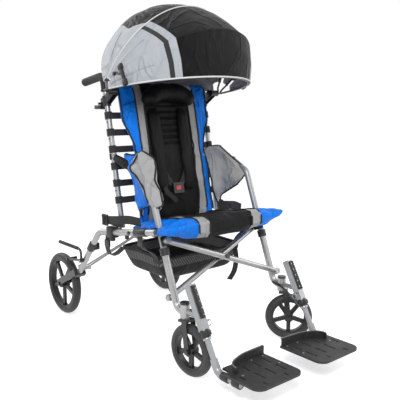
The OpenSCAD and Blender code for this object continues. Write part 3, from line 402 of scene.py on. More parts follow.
for side in foldSide:
    nodes[side + "_front_leg"].data.materials[0] = finishes["flutedTube"]
print("finishes made:", len(finishes))


# shaping helpers

def faceOut(bm):
    bmesh.ops.recalc_face_normals(bm, faces=bm.faces)


def placeMesh(bm, name, mats, sharp=None):
    if all(e.is_manifold for e in bm.edges) and bm.calc_volume(signed=True) < 0:
        bmesh.ops.reverse_faces(bm, faces=bm.faces[:])
    mesh = bpy.data.meshes.new(name)
    bm.to_mesh(mesh)
    bm.free()
    for mat in mats:
        mesh.materials.append(finishes[mat])
    mesh.polygons.foreach_set("use_smooth", [True] * len(mesh.polygons))
    if sharp:
        mesh.set_sharp_from_angle(angle=math.radians(sharp))
    obj = bpy.data.objects.new(name, mesh)
    scene.collection.objects.link(obj)
    return obj


def addPiece(obj, body, replaced=(), fold=None):
    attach(obj, body)
    if replaced:
        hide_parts(*replaced)
    if fold:  # a piece on a folding side gets a mesh of its own
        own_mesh(obj)
    return obj


def addHard(name, body, slot, rods=(), boxes=(), fold=None, mat=None):  # rods and boxes in one hard piece
    bm = bmesh.new()
    for rod in rods:
        rodMesh(bm, *rod)
    for box in boxes:
        boxMesh(bm, *box)
    return addPiece(placeMesh(bm, name, [mat or slotFinish[slot]], sharp=35), body, fold=fold)


def addTube(name, runs, radius, mat, body, slot, replaced=(), fold=None, **shape):
    return addPiece(tubeMesh(name, runs, radius, mat, **shape), body, replaced, fold)


def addStrap(name, runs, width, thick, wide, body, flat, held, rests, replaced=(), fold=None, **more):
    obj = addPiece(strapMesh(name, runs, width, thick, wide), body, replaced, fold)


def soften(obj):  # one subdivision
    soft = obj.modifiers.new("soft", "SUBSURF")
    soft.levels = soft.render_levels = 1


def addPad(obj, body, replaced=(), fold=None):
    soften(obj)
    addPiece(obj, body, replaced, fold)


def addWall(obj, thick, offset, lining=0):  # cloth thickness, its inside in a later material
    wall = obj.modifiers.new("wall", "SOLIDIFY")
    wall.thickness = thick
    wall.offset = offset
    wall.material_offset = lining
    soften(obj)


def runLength(path):
    return round(sum((a - b).length for a, b in zip(path, path[1:])), 3)


def clothArea(obj):
    return sum(face.area for face in obj.data.polygons)


def ring(center, first, second, count):  # a closed round path in the plane of two arms
    turns = [2 * math.pi * i / count for i in range(count)]
    return [center + first * math.cos(a) + second * math.sin(a) for a in turns]


def roundPath(points, steps=8, closed=False):
    out = []
    count = len(points)
    for i in range(count if closed else count - 1):
        a, b, c, d = (points[(i + k) % count if closed else max(0, min(count - 1, i + k))] for k in (-1, 0, 1, 2))
        for j in range(steps):
            t = j / steps
            out.append(0.5 * (2 * b + (c - a) * t + (2 * a - 5 * b + 4 * c - d) * t * t
                              + (3 * b - a - 3 * c + d) * t ** 3))
    if not closed:
        out.append(points[-1].copy())
    return out


def drawnPath(side, points, steps=8):  # a smooth run through points of the drawing
    return roundPath([at(side * x, y, z) for x, y, z in points], steps)


def tubeMesh(name, runs, radius, mat, closed=False, sides=4, scales=None):  # curve bevel turned into a mesh
    data = bpy.data.curves.new(name, "CURVE")
    data.dimensions = "3D"
    data.bevel_depth = radius
    data.bevel_resolution = sides
    data.use_fill_caps = True
    for path in runs:
        spline = data.splines.new("POLY")
        spline.points.add(len(path) - 1)
        for i, point in enumerate(path):
            spline.points[i].co = (*point, 1)
            spline.points[i].radius = scales[i] if scales else 1.0
        spline.use_cyclic_u = closed
    carrier = bpy.data.objects.new(name, data)
    scene.collection.objects.link(carrier)
    mesh = bpy.data.meshes.new_from_object(carrier)
    bpy.data.objects.remove(carrier)
    bm = bmesh.new()
    bm.from_mesh(mesh)
    bpy.data.meshes.remove(mesh)
    bmesh.ops.remove_doubles(bm, verts=bm.verts, dist=0.00002)
    faceOut(bm)
    return placeMesh(bm, name, [mat], sharp=50)


def pick(geom, kind):
    return [g for g in geom if isinstance(g, kind)]


def drawnOut(bm, path):  # a row of points with a copy extruded from it: the copy's corners and the faces between
    row = [bm.verts.new(p) for p in path]
    grown = bmesh.ops.extrude_edge_only(bm, edges=[bm.edges.new(pair) for pair in zip(row, row[1:])])["geom"]
    return pick(grown, bmesh.types.BMVert), pick(grown, bmesh.types.BMFace)


def strapMesh(name, runs, width, thick, wide):  # flat bands along paths, wide gives each one's width direction
    bm = bmesh.new()
    for path, side in zip(runs, wide):
        copied, _ = drawnOut(bm, [p - side * width / 2 for p in path])
        bmesh.ops.translate(bm, vec=side * width, verts=copied)
    faceOut(bm)
    bmesh.ops.solidify(bm, geom=bm.faces[:], thickness=thick)
    faceOut(bm)
    return placeMesh(bm, name, ["webbing"], sharp=40)


def padMesh(across, along, placeAt):  # two grids bridged round their edges
    bm = bmesh.new()
    bmesh.ops.create_grid(bm, x_segments=across, y_segments=along, size=1)
    copy = bmesh.ops.duplicate(bm, geom=bm.verts[:] + bm.edges[:] + bm.faces[:])["geom"]
    bmesh.ops.translate(bm, vec=(0, 0, -0.5), verts=pick(copy, bmesh.types.BMVert))
    bmesh.ops.bridge_loops(bm, edges=[e for e in bm.edges if e.is_boundary])
    for v in bm.verts:
        u, w = (v.co.x + 1) / 2, (v.co.y + 1) / 2
        v.co = placeAt(u, w, v.co.z > -0.25)
    faceOut(bm)
    return bm


def boxMesh(bm, center, size, bevel, axes=None):
    if axes and Matrix(axes).determinant() < 0:
        axes = (-axes[0], axes[1], axes[2])
    turn = Matrix(axes).transposed().to_4x4() if axes else Matrix.Identity(4)
    made = bmesh.ops.create_cube(bm, size=1, matrix=Matrix.Translation(center) @ turn @ Matrix.Diagonal((*size, 1)))
    edges = list({e for v in made["verts"] for e in v.link_edges})
    bmesh.ops.bevel(bm, geom=edges, offset=bevel, segments=2, profile=0.5, affect="EDGES", material=-1)


def rodMesh(bm, start, end, radius, segments, bevel):
    axis = end - start
    turn = axis.to_track_quat("Z", "Y").to_matrix().to_4x4()
    made = bmesh.ops.create_cone(bm, cap_ends=True, segments=segments, radius1=radius, radius2=radius,
                                 depth=axis.length, matrix=Matrix.Translation((start + end) / 2) @ turn)
    rims = [e for e in {e for v in made["verts"] for e in v.link_edges}
            if abs((e.verts[0].co - e.verts[1].co).dot(axis)) < 1e-9]
    bmesh.ops.bevel(bm, geom=rims, offset=bevel, segments=2, profile=0.5, affect="EDGES", material=-1)


def puff(obj, voxel, cap, pressure=4, frames=20):  # air pressure in the closed cover, each point held to a cap
    remesh = obj.modifiers.new("remesh", "REMESH")
    remesh.mode = "VOXEL"
    remesh.voxel_size = voxel
    graph = bpy.context.evaluated_depsgraph_get()
    solid = bpy.data.meshes.new_from_object(obj.evaluated_get(graph), preserve_all_data_layers=True, depsgraph=graph)
    obj.modifiers.clear()
    for mat in obj.data.materials:
        if len(solid.materials) < len(obj.data.materials):
            solid.materials.append(mat)
    obj.data = solid
    start = [v.co.copy() for v in solid.vertices]
    air = obj.modifiers.new("air", "CLOTH")
    air.settings.use_pressure = True
    air.settings.uniform_pressure_force = pressure
    air.settings.effector_weights.gravity = 0
    for number in range(1, frames + 1):
        scene.frame_set(number)
    graph = bpy.context.evaluated_depsgraph_get()
    blown = obj.evaluated_get(graph).to_mesh()
    moved = [v.co.copy() for v in blown.vertices]
    obj.evaluated_get(graph).to_mesh_clear()
    obj.modifiers.clear()
    scene.frame_set(1)
    for v, old, new in zip(solid.vertices, start, moved):
        step = new - old
        v.co = old + step * min(1.0, cap / max(step.length, 1e-9))
    solid.polygons.foreach_set("use_smooth", [True] * len(solid.polygons))
    solid.update()


def cutAcross(bm, place, normal, dist):
    bmesh.ops.bisect_plane(bm, geom=bm.verts[:] + bm.edges[:] + bm.faces[:], dist=dist,
                           plane_co=place, plane_no=normal)


def stripeCloth(obj, blackHalf, greyHalf):  # black middle, grey strips, blue sides, cut so their edges are clean
    bm = bmesh.new()
    bm.from_mesh(obj.data)
    for x in (blackHalf, greyHalf):
        for side in (-1, 1):
            cutAcross(bm, (side * x / 1000, 0, 0), acrossX, 1e-5)
    bm.to_mesh(obj.data)
    bm.free()
    for face in obj.data.polygons:
        x = abs(face.center.x * 1000)
        face.material_index = 0 if x < blackHalf else 1 if x < greyHalf else 2


def snapPath(obj, points, lift):  # points dropped on the surface, raised by a lift
    out = []
    for p in points:
        found, place, normal, _ = obj.closest_point_on_mesh(p)
        out.append(place + normal * lift if found else p)
    return out


def wrinkle(point, size, depth):  # slack in the cloth
    return depth * noise.noise(point * size)


def stretchedPoint(point, x, y, z):
    return Vector((point.x * x, point.y * y, point.z * z))


# seat cushion

seat = {
    "top": 34, "thick": 46, "rimThick": 0.55, "drop": 46, "lobe": 0.58, "lobeX": 224, "crown": 12,
    "frontY": -358, "rearY": -34, "inset": 5, "voxel": 0.006, "cap": 0.009,
    "half": [(-358, 288), (-344, 298), (-268, 298), (-252, 222), (-210, 222), (-194, 264), (-48, 264), (-34, 252)],
    "blackHalf": 107, "greyHalf": 157, "piping": 0.0032,
}


def seatAt(u, w, upper, inset):
    y = mix(seat["frontY"] + inset, seat["rearY"] - inset, w)
    s = 2 * u - 1
    x = s * (stepsOf(y, seat["half"]) - inset)
    along = 1 - abs(2 * w - 1) ** 6
    top = railZ(y) + seat["top"]
    if upper:
        return at(x, y, top + seat["crown"] * ((1 - abs(s) ** 6) * along - 1) - inset)
    lobe = mix(1, seat["lobe"], min(1, abs(x) / seat["lobeX"]) ** 2)
    hang = seat["drop"] * lobe * (1 - abs(s) ** 12) * max(0, 1 - 3 * w)
    return at(x, y, top - seat["thick"] * mix(seat["rimThick"], 1, along) - hang + inset)


def makeSeat():
    inset = seat["inset"]
    bm = padMesh(56, 34, lambda u, w, upper: seatAt(u, w, upper, inset))
    obj = placeMesh(bm, "seatCover", ["blackCloth", "greyCloth", "blueCloth"])
    puff(obj, seat["voxel"], seat["cap"])
    stripeCloth(obj, seat["blackHalf"], seat["greyHalf"])
    for v in obj.data.vertices:  # long creases in the blue ends
        v.co.z += wrinkle(v.co, 13, 0.006) + wrinkle(v.co, 34, 0.002)
        blue = clampUnit((abs(v.co.x) * 1000 - seat["greyHalf"]) / 30)
        v.co.z += blue * wrinkle(stretchedPoint(v.co, 0.35, 1, 0.6), 44, 0.006)
        v.co.y += blue * wrinkle(stretchedPoint(v.co, 0.35, 0.4, 1), 40, 0.006)
    runs, front = [], seat["frontY"]
    for x in (-seat["greyHalf"], -seat["blackHalf"], seat["blackHalf"], seat["greyHalf"]):
        path = [at(x, y, railZ(0) + 60) for y in spread(-60, front + 6, 24)]
        path += [at(x, front - 20, railZ(front) + up) for up in spread(14, -40, 12)]
        runs.append(snapPath(obj, path, 0.0016))
    addPad(obj, "right_frame", ["seat_cushion"], "right")
    addTube("seatPiping", runs, seat["piping"], "piping", "right_frame", "black_webbing", fold="right")


# back pad

back = {
    "half": [(690, 200), (742, 187), (805, 194), (885, 228), (1045, 232)], "lowZ": 456, "topZ": 1045,
    "thick": 40, "rimThick": 0.55, "curve": 25, "gap": 11.3, "inset": 4, "voxel": 0.006, "cap": 0.008,
    "blackHalf": 112, "greyHalf": 150, "seamZ": (512, 1035), "edgeZ": (512, 1030), "piping": 0.0034,
    "rolls": (790, 952, 6), "rollHalf": 84, "rollDeep": 0.009,
}


def backAt(u, w, front, inset):
    s = 2 * u - 1
    z = mix(back["lowZ"] + inset, back["topZ"] - inset, w)
    x = s * (stepsOf(z, back["half"]) - inset)
    rear = caneY(z) - back["gap"] - back["curve"] * abs(s) ** 6
    if not front:
        return at(x, rear - inset, z)
    swell = mix(back["rimThick"], 1, (1 - abs(s) ** 6) * (1 - abs(2 * w - 1) ** 6))
    return at(x, rear - back["thick"] * swell + inset, z)


def makeBack():
    inset = back["inset"]
    bm = padMesh(60, 130, lambda u, w, front: backAt(u, w, front, inset))
    obj = placeMesh(bm, "backCover", ["blackCloth", "greyCloth", "blueCloth"])
    puff(obj, back["voxel"], back["cap"])
    stripeCloth(obj, back["blackHalf"], back["greyHalf"])
    low, high, count = back["rolls"]
    for v in obj.data.vertices:  # sewn rolls across the middle, and slack elsewhere
        x, z = v.co.x * 1000, v.co.z * 1000
        if drawnY(v.co) > caneY(z) - 26:
            continue
        t = (z - low) / (high - low)
        inside = clampUnit((back["rollHalf"] - abs(x)) / 8)
        if 0 < t < 1:
            v.co.y += back["rollDeep"] * inside * (1 - abs(math.sin(math.pi * t * count)) ** 0.6)
        else:
            v.co.y += wrinkle(v.co, 13, 0.005) + wrinkle(v.co, 37, 0.002)
    runs = []
    for x in (-back["greyHalf"], -back["blackHalf"], back["blackHalf"], back["greyHalf"]):
        runs.append(snapPath(obj, [at(x, caneY(z) - 90, z) for z in spread(*back["seamZ"], 30)], 0.0008))
    for side in (-1, 1):
        edge = [at(side * (stepsOf(z, back["half"]) + 4), caneY(z) - 70, z) for z in spread(*back["edgeZ"], 40)]
        runs.append(snapPath(obj, edge, 0.0015))
    addPad(obj, "right_frame", ["back_pad"], "right")
    addTube("backPiping", runs, back["piping"], "piping", "right_frame", "black_webbing", fold="right")
    return obj


# head pillow

pillow = {"tube": 41, "shift": -12, "gap": 51.6, "inset": 4, "voxel": 0.005, "cap": 0.006,
          "line": [(-92, 944), (-88, 976), (-54, 996), (0, 1000), (54, 996), (88, 976), (92, 944)]}


def makePillow():  # a bean-shaped roll over the top of the back
    run = roundPath([at(x + pillow["shift"], caneY(z) - pillow["gap"] - pillow["tube"], z)
                     for x, z in pillow["line"]], 7)
    scales = []
    for i in range(len(run)):
        t = i / (len(run) - 1)
        closing = math.sqrt(clampUnit((min(t, 1 - t) * 40 + 0.15) / 5))
        scales.append(closing * (0.94 + 0.10 * abs(2 * t - 1) + 0.03 * math.sin(t * 23)))
    inset = pillow["inset"]
    obj = tubeMesh("pillowCover", [run], (pillow["tube"] - inset) / 1000, "blackCloth", sides=8, scales=scales)
    puff(obj, pillow["voxel"], pillow["cap"])
    addPad(obj, "right_frame", ["head_pillow"], "right")


# arm panels

panel = {  # top and low edges: share along, y, z
    "slim": 8, "fat": 18, "rimHalf": 4.5, "spread": 30, "legSpread": 34, "lean": 0.376, "inset": 1.5, "voxel": 0.0038,
    "cap": 0.004, "gatherZ": 0.778, "gatherKeep": 0.28, "piping": 0.0036,
    "top": {"right": [(0, -205, 690), (0.12, -182, 754), (0.3, -130, 782), (0.55, -62, 766), (0.75, -10, 758),
                      (1, 62, 756)],
            "left": [(0, -170, 676), (0.58, -14, 779), (0.8, 34, 772), (1, 62, 755)]},
    "low": {"right": [(0, -238, 586), (0.12, -222, 575), (0.3, -150, 570), (0.55, -88, 550), (0.75, -60, 530),
                      (1, -34, 508)],
            "left": [(0, -156, 640), (0.15, -128, 612), (0.58, -33, 560), (1, -40, 510)]},
    "plan": [(0, 248), (0.55, 247), (0.78, 230), (1, 207)],
    "leaf": [(574, -215), (590, -147), (664, -90), (742, -60), (783, -95)],  # the grey front ends here, y by height
    "leafZ": (586, 772),
}


def panelAt(name, u, w, inner, inset):
    y, z = (mix(*(stepsOf(u, [(row[0], row[i]) for row in panel[edge][name]]) for edge in ("low", "top")), w)
            for i in (1, 2))
    corner, cane = armEnds(1)
    along = clampUnit((at(0, y, 0).y - corner.y) / (cane.y - corner.y))
    near = math.exp(-((z - mix(corner.z, cane.z, along) * 1000) / panel["spread"]) ** 2)
    if name == "right":  # this one wraps the leg as well as the arm
        leg = drawnY(corner) + (z - corner.z * 1000) * panel["lean"]
        near = max(near, math.exp(-((y - leg) / panel["legSpread"]) ** 2))
    rim = (1 - abs(2 * u - 1) ** 6) * (1 - abs(2 * w - 1) ** 6)
    half = mix(panel["rimHalf"], mix(panel["slim"], panel["fat"], near), math.sqrt(max(0, rim))) - inset
    plan = stepsOf(u, panel["plan"])
    middle = mix(plan - 14, plan + 4, near)
    return at(foldSide[name] * (middle + (-half if inner else half)), y, z)


def makePanels():
    inset = panel["inset"]
    steps = [i / 16 for i in range(16)]
    rim = [(t, 0) for t in steps] + [(1, t) for t in steps]
    rim += [(1 - t, 1) for t in steps] + [(0, 1 - t) for t in steps]
    for name, side in foldSide.items():
        bm = padMesh(44, 36, lambda u, w, inner: panelAt(name, u, w, inner, inset))
        obj = placeMesh(bm, name + "ArmPanel", ["greyCloth", "blueCloth"])
        puff(obj, panel["voxel"], panel["cap"])
        for v in obj.data.vertices:
            v.co.x += wrinkle(v.co, 12, 0.012) + wrinkle(v.co, 30, 0.005)
        for face in obj.data.polygons:
            grey = face.normal.x * side < 0.1 or drawnY(face.center) < stepsOf(face.center.z * 1000, panel["leaf"])
            face.material_index = 0 if grey else 1
        edge = [mix(panelAt(name, u, w, False, 0), panelAt(name, u, w, True, 0), 0.5) for u, w in rim]
        leaf = [at(side * 300, stepsOf(z, panel["leaf"]), z) for z in spread(*panel["leafZ"], 24)]
        runs = [snapPath(obj, edge + edge[:1], 0.001), snapPath(obj, leaf, 0.0012)]
        addPad(obj, name + "_frame", [name + "_side_panel"])
        trim = addTube(name + "PanelPiping", runs, panel["piping"], "piping", name + "_frame", "black_webbing")
        for piece in (obj, trim):  # each gets a mesh of its own
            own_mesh(piece)


# harness

harness = {  # strap points: x, z, distance in front of the canes
    "strap": [(19.3, 622, 70.4), (45, 655, 79), (66, 700, 80), (72, 800, 80), (70, 930, 80)], "wide": 0.034,
    "padZ": (600, 935), "padX": (66, 73), "padHalf": 28, "padThick": (0.015, 0.002),
}


def padPoint(cover, side, u, w, lift):
    z = mix(*harness["padZ"], w)
    s = 2 * u - 1
    x = side * mix(*harness["padX"], w) + s * harness["padHalf"] * (1 - 0.25 * abs(2 * w - 1) ** 8)
    _, place, _, _ = cover.closest_point_on_mesh(at(x, caneY(z) - 80, z))
    full = math.sqrt(max(0, 1 - s ** 4)) * math.sqrt(max(0, 1 - (2 * w - 1) ** 8))
    return place + Vector((0, -1, 0)) * (0.003 + lift * full)


def makeHarness(cover):
    runs = []
    for side in (-1, 1):
        path = [at(side * x, caneY(z) - front, z) for x, z, front in harness["strap"]]
        runs.append(snapPath(cover, roundPath(path, 8), 0.006))
    addStrap("shoulderStraps", runs, harness["wide"], 0.0022, [acrossX] * 2, "right_frame",
             (0.068, 0.33), "stretched", ["back_pad"], ["harness"], "right")
    front, rear = harness["padThick"]
    for name, side in foldSide.items():
        bm = padMesh(10, 26, lambda u, w, upper: padPoint(cover, side, u, w, front if upper else rear))
        obj = placeMesh(bm, name + "ShoulderPad", ["blackCloth"])
        addPad(obj, "right_frame", fold="right")


makeSeat()
backCover = makeBack()
makePillow()
makePanels()
makeHarness(backCover)
print("seat, back, pillow, panels and harness made")


# canopy

canopy = {  # reach and colour edges go by the angle up from the front, slants from the middle out to each side
    "hinge": (60, 1000), "half": 284, "layerStep": 9, "layerOut": 4.6, "side": 82, "sag": 7, "thick": 0.0032,
    "reach": [(7, 372), (18, 404), (30, 424), (60, 362), (100, 345), (127, 318)],
    "rear": (60, 127), "mid": (30, 60), "visor": (7, 30), "flatReach": 0.36, "flatSpare": 1.15,
    "carried": {"rear": ("right_frame", 0), "mid": ("canopy_mid_body", 1), "visor": ("canopy_visor_body", 2)},
    "blackEdge": [(7, 32), (30, 36), (60, 38)], "flapEdge": [(60, 38), (80, 48), (100, 40), (127, 24)],
    "knots": [0, 0.20, 0.26, 0.30, 0.70, 0.74, 0.80, 1], "stripe": (4.6, 6.8),
    "bowRadius": 4, "bowClear": {"rear": 4.9, "mid": 5.5, "visor": 4.6}, "bowFoot": 0.010, "bowEnd": 86,
    "piping": [("crownPiping", "mid", 0.0026, 60), ("lipPiping", "visor", 0.0032, 7)], "trimDepth": -0.4,
    "rims": [("rear", 0.0018, 1.4), ("mid", 0.0024, -0.4), ("visor", 0.0024, -0.4)],  # a bow passes over the rear
    "seams": [("visor", 19), ("mid", 46), ("rear", 88)], "seam": 0.0011,
}


def canopyAt(angle, slant, layer, sag=0.0, depth=0.0):
    out = layer * canopy["layerOut"] - depth
    a, tilt = math.radians(angle), math.radians(slant)
    x = (canopy["half"] + layer * canopy["layerStep"] + out) * math.sin(tilt)
    r = (stepsOf(angle, canopy["reach"]) - sag + out) * math.cos(tilt)
    return at(x, canopy["hinge"][0] - r * math.cos(a), canopy["hinge"][1] + r * math.sin(a))


def foldCanopy(obj):  # gives the piece a mesh of its own
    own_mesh(obj)


def slantAt(u, edge):  # grid lines follow the colour edges
    near, far = canopy["stripe"]
    stops = [-canopy["side"], -edge - far, -edge - near, -edge, edge, edge + near, edge + far, canopy["side"]]
    return stepsOf(u, list(zip(canopy["knots"], stops)))


def rearZone(u):  # a black flap between grey sides
    return 1 if 0.30 < u < 0.70 else 0


def frontZone(u):  # grey sides, a black stripe, grey strip, black middle
    across = min(u, 1 - u)
    return 0 if across < 0.20 else 2 if across < 0.26 else 0 if across < 0.30 else 1


def canopySheet(name, span, edges, zone, rows):
    (first, last), layer = canopy[span], canopy["carried"][span][1]
    bm = bmesh.new()
    bmesh.ops.create_grid(bm, x_segments=50, y_segments=rows, size=1)
    for face in bm.faces:
        face.material_index = zone((face.calc_center_median().x + 1) / 2)
    for v in bm.verts:
        u, w = (v.co.x + 1) / 2, (v.co.y + 1) / 2
        angle = mix(first, last, w)
        slant = slantAt(u, stepsOf(angle, edges))
        between = math.sin(math.pi * w)
        place = canopyAt(angle, slant, layer, canopy["sag"] * between)
        fan = math.sin(angle * 0.5 + 4 * noise.noise(place * 5)) * 2.4 * clampUnit((abs(slant) - 42) / 25)
        slack = (wrinkle(place, 12, 4.5) + wrinkle(place, 33, 2.4) + fan) * between * math.cos(math.radians(slant))
        v.co = canopyAt(angle, slant, layer, canopy["sag"] * between, slack)
    faceOut(bm)
    middle = canopyAt(mix(first, last, 0.5), 0, layer)
    face = min(bm.faces, key=lambda f: (f.calc_center_median() - middle).length)
    if face.normal.dot(middle - at(0, *canopy["hinge"])) < 0:
        bmesh.ops.reverse_faces(bm, faces=bm.faces[:])
    obj = placeMesh(bm, name, ["canopyGrey", "canopyBlack", "webbing", "lining"])
    addWall(obj, canopy["thick"], -1, 3)
    return obj


def makeBow(span):
    (body, layer), angle = canopy["carried"][span], canopy[span][0]
    depth, a = canopy["bowClear"][span] + canopy["bowRadius"], math.radians(angle)
    pin = at(canopy["half"] + layer * canopy["layerStep"], *canopy["hinge"])
    foot = pin + Vector((0, -math.cos(a), math.sin(a))) * canopy["bowFoot"]
    slants = [-canopy["bowEnd"], *spread(-canopy["side"], canopy["side"], 40), canopy["bowEnd"]]
    path = [Vector((-foot.x, foot.y, foot.z)), *(canopyAt(angle, s, layer, 0, depth) for s in slants), foot]
    rod = addTube(span + "BowRod", [path], canopy["bowRadius"] / 1000, "blackPlastic", body, "grey_tube",
                  [span + "_bow"])
    foldCanopy(rod)


def makeTrim(name, span, radius, mat, run, sag=0, depth=canopy["trimDepth"]):  # run: angle and slant of each point
    body, layer = canopy["carried"][span]
    path = [canopyAt(angle, slant, layer, sag, depth) for angle, slant in run]
    foldCanopy(addTube(name, [path], radius, mat, body, "canopy_grey", sides=2))


def makeCanopy():
    sheets = [("canopyRearCloth", "rear", "flapEdge", rearZone, 22),
              ("canopyMidCloth", "mid", "blackEdge", frontZone, 20),
              ("canopyVisorCloth", "visor", "blackEdge", frontZone, 26)]
    cloths = [(span, canopySheet(name, span, canopy[edge], zone, rows)) for name, span, edge, zone, rows in sheets]
    for span, obj in cloths:
        body, layer = canopy["carried"][span]
        area, (low, high) = clothArea(obj), canopy[span]
        addPiece(obj, body, ["canopy_" + span])
        foldCanopy(obj)
        makeBow(span)
    for name, span, radius, angle in canopy["piping"]:
        makeTrim(name, span, radius, "silverPiping", [(angle, s) for s in spread(-81, 81, 60)])
    for name, side in foldSide.items():
        for span, radius, depth in canopy["rims"]:
            run = [(angle, side * 81.5) for angle in spread(*canopy[span], 20)]
            makeTrim(span + "Rim" + name.title(), span, radius, "silverPiping", run, depth=depth)
        for number, (span, angle) in enumerate(canopy["seams"]):
            low, high = canopy[span]
            sag = canopy["sag"] * math.sin(math.pi * (angle - low) / (high - low))
            run = [(angle, side * slant) for slant in spread(50, 80, 16)]
            makeTrim("fanSeam%d%s" % (number, name.title()), span, canopy["seam"], "lining", run, sag)


# rear curtain

curtain = {"slant": 80, "lowZ": 1008, "maxX": 276, "low": [(205, 122), (250, 84), (276, 78)],
           "belly": [(190, 0.012), (235, -0.006)], "thick": 0.0024}


def makeCurtain():  # the rear drop behind the head, round to the hinges
    bm = bmesh.new()
    bmesh.ops.create_grid(bm, x_segments=60, y_segments=20, size=1)
    for v in bm.verts:
        slant, w = curtain["slant"] * v.co.x, (v.co.y + 1) / 2
        top = canopyAt(canopy["rear"][1], slant, 0)
        x = abs(top.x) * 1000
        low = at(math.copysign(min(x, curtain["maxX"]), slant), stepsOf(x, curtain["low"]), curtain["lowZ"])
        belly = stepsOf(x, curtain["belly"]) * math.sin(math.pi * w)
        v.co = mix(top, low, w) + Vector((0, belly + wrinkle(top, 14, 0.005) * w, 0))
    faceOut(bm)
    if sum(face.normal.y for face in bm.faces) < 0:
        bmesh.ops.reverse_faces(bm, faces=bm.faces[:])
    obj = placeMesh(bm, "canopyCurtain", ["canopyGrey", "lining"])
    addWall(obj, curtain["thick"], -1, 1)
    addPiece(obj, "right_frame")
    foldCanopy(obj)


# basket

basket = {"half": 212, "front": -196, "rear": 120, "low": 272, "high": 372, "floor": 0.82, "wallFrom": 0.55,
          "inset": 3, "rimWave": 5.4, "thick": 0.0025, "hem": 0.004, "meshBand": (0.80, 0.95)}


def basketAt(u, w):  # from the middle of the floor out to the rim, on a rounded square
    far = max(abs(u), abs(w), 1e-6)
    a, b = u / far, w / far
    corner = max((abs(a) ** 7 + abs(b) ** 7) ** (1 / 7), 1e-6)
    a, b = a / corner, b / corner
    midY, halfY = (basket["front"] + basket["rear"]) / 2, (basket["rear"] - basket["front"]) / 2
    if far < basket["wallFrom"]:
        t = far / basket["wallFrom"]
        share, z = t * basket["floor"], basket["low"] + 4 + 10 * t ** 6
    else:
        t = (far - basket["wallFrom"]) / (1 - basket["wallFrom"])
        share, z = mix(basket["floor"], 1, t ** 0.7), mix(basket["low"] + 14, basket["high"], t)
        z -= basket["rimWave"] * t * math.cos(a * 2.6) * math.cos(b * 2.2)
    place = at(a * share * (basket["half"] - basket["inset"]), midY + b * share * (halfY - basket["inset"]), z)
    return place + Vector((wrinkle(place, 16, 0.004), wrinkle(place, 14, 0.003), 0)) * min(1, far)


def rimOf(bm):  # the rim's points in order
    start = here = next(e for e in bm.edges if e.is_boundary).verts[0]
    points, last = [], None
    while not points or here is not start:
        points.append(here.co.copy())
        last = next(e for e in here.link_edges if e.is_boundary and e is not last)
        here = last.other_vert(here)
    return points


def makeBasket():
    bm = bmesh.new()
    bmesh.ops.create_grid(bm, x_segments=56, y_segments=56, size=1)
    low, high = basket["meshBand"]
    for face in bm.faces:
        c = face.calc_center_median()
        face.material_index = 1 if low < max(abs(c.x), abs(c.y)) < high else 0
    for v in bm.verts:
        v.co = basketAt(v.co.x, v.co.y)
    faceOut(bm)
    rim = rimOf(bm)
    obj = placeMesh(bm, "basketShell", ["basketCloth", "basketMesh"])
    addWall(obj, basket["thick"], 0)
    addPiece(obj, "right_frame", ["basket"], "right")
    addTube("basketHem", [rim], basket["hem"], "piping", "right_frame", "black_webbing", fold="right", closed=True)


# webbing bands on the canes

bands = {"firstZ": 575, "pitch": 66, "count": 6, "high": 0.028, "radius": 0.0134, "thick": 0.0022,
         "tabX": (236.4, 215, 190, 165, 140, 108), "tabWide": 0.026, "tabThick": 0.002}


def makeBands():
    heights = [bands["firstZ"] + i * bands["pitch"] for i in range(bands["count"])]
    upCane = Vector((0, math.sin(caneTilt), math.cos(caneTilt)))
    for name, side in foldSide.items():
        bm = bmesh.new()
        for z in heights:
            hoop = bmesh.ops.create_circle(bm, segments=28, radius=bands["radius"])["verts"]
            grown = bmesh.ops.extrude_edge_only(bm, edges=list({e for v in hoop for e in v.link_edges}))["geom"]
            upper = pick(grown, bmesh.types.BMVert)
            bmesh.ops.translate(bm, vec=(0, 0, bands["high"]), verts=upper)
            hoop += upper
            bmesh.ops.translate(bm, vec=(0, 0, -bands["high"] / 2), verts=hoop)
            bmesh.ops.rotate(bm, cent=(0, 0, 0), matrix=Matrix.Rotation(-caneTilt, 3, "X"), verts=hoop)
            bmesh.ops.translate(bm, vec=onCane(side, z), verts=hoop)
        faceOut(bm)
        bmesh.ops.solidify(bm, geom=bm.faces[:], thickness=-bands["thick"])
        faceOut(bm)
        obj = placeMesh(bm, name + "CaneBands", ["webbing"], sharp=40)
        addPiece(obj, name + "_frame", [name + "_back_straps"])
        runs = [[at(side * x, caneY(z) - 6, z) for x in bands["tabX"]] for z in heights]
        addStrap(name + "StrapTabs", runs, bands["tabWide"], bands["tabThick"], [upCane] * len(runs), name + "_frame",
                 (0.156, 0.135), "stretched", [name + "_back_cane"], fold=name, area=0.156 * 0.1284)


makeCurtain()
makeCanopy()
print("canopy made")
makeBasket()
makeBands()
print("basket and bands made")


# footplates

plate = {
    "inner": 46, "outer": 262, "front": -751.2, "rear": -556.2, "top": 80.3, "thick": 0.008, "round": 0.034,
    "notch": (236, 36), "slotWide": 6, "edge": 0.0012,
    "slots": [(-632, -592, (80, 130, 180)), (-700, -650, (80, 130, 180)), (-735, -716, (108, 206)),
              (-672, -640, (238,))],
    "guard": [(232, -622), (228, -600), (210, -582), (184, -572), (150, -563), (100, -561), (47, -561)],
    # the guard's height, wall, and the radius of the thin tube that paints a highlight on its top
    "guardTall": (0.022, 0.030), "guardThick": 0.004, "guardPaintedHighlight": 0.0022,
    "hubs": (-589.2, -644.2), "hubZ": 62, "hubHalf": 17, "hubRadius": 0.015,
    "rivets": [(64, -575), (120, -576), (62, -652), (224, -642)], "rivetZ": (-1, 1.2), "rivetRadius": 0.0036,
}


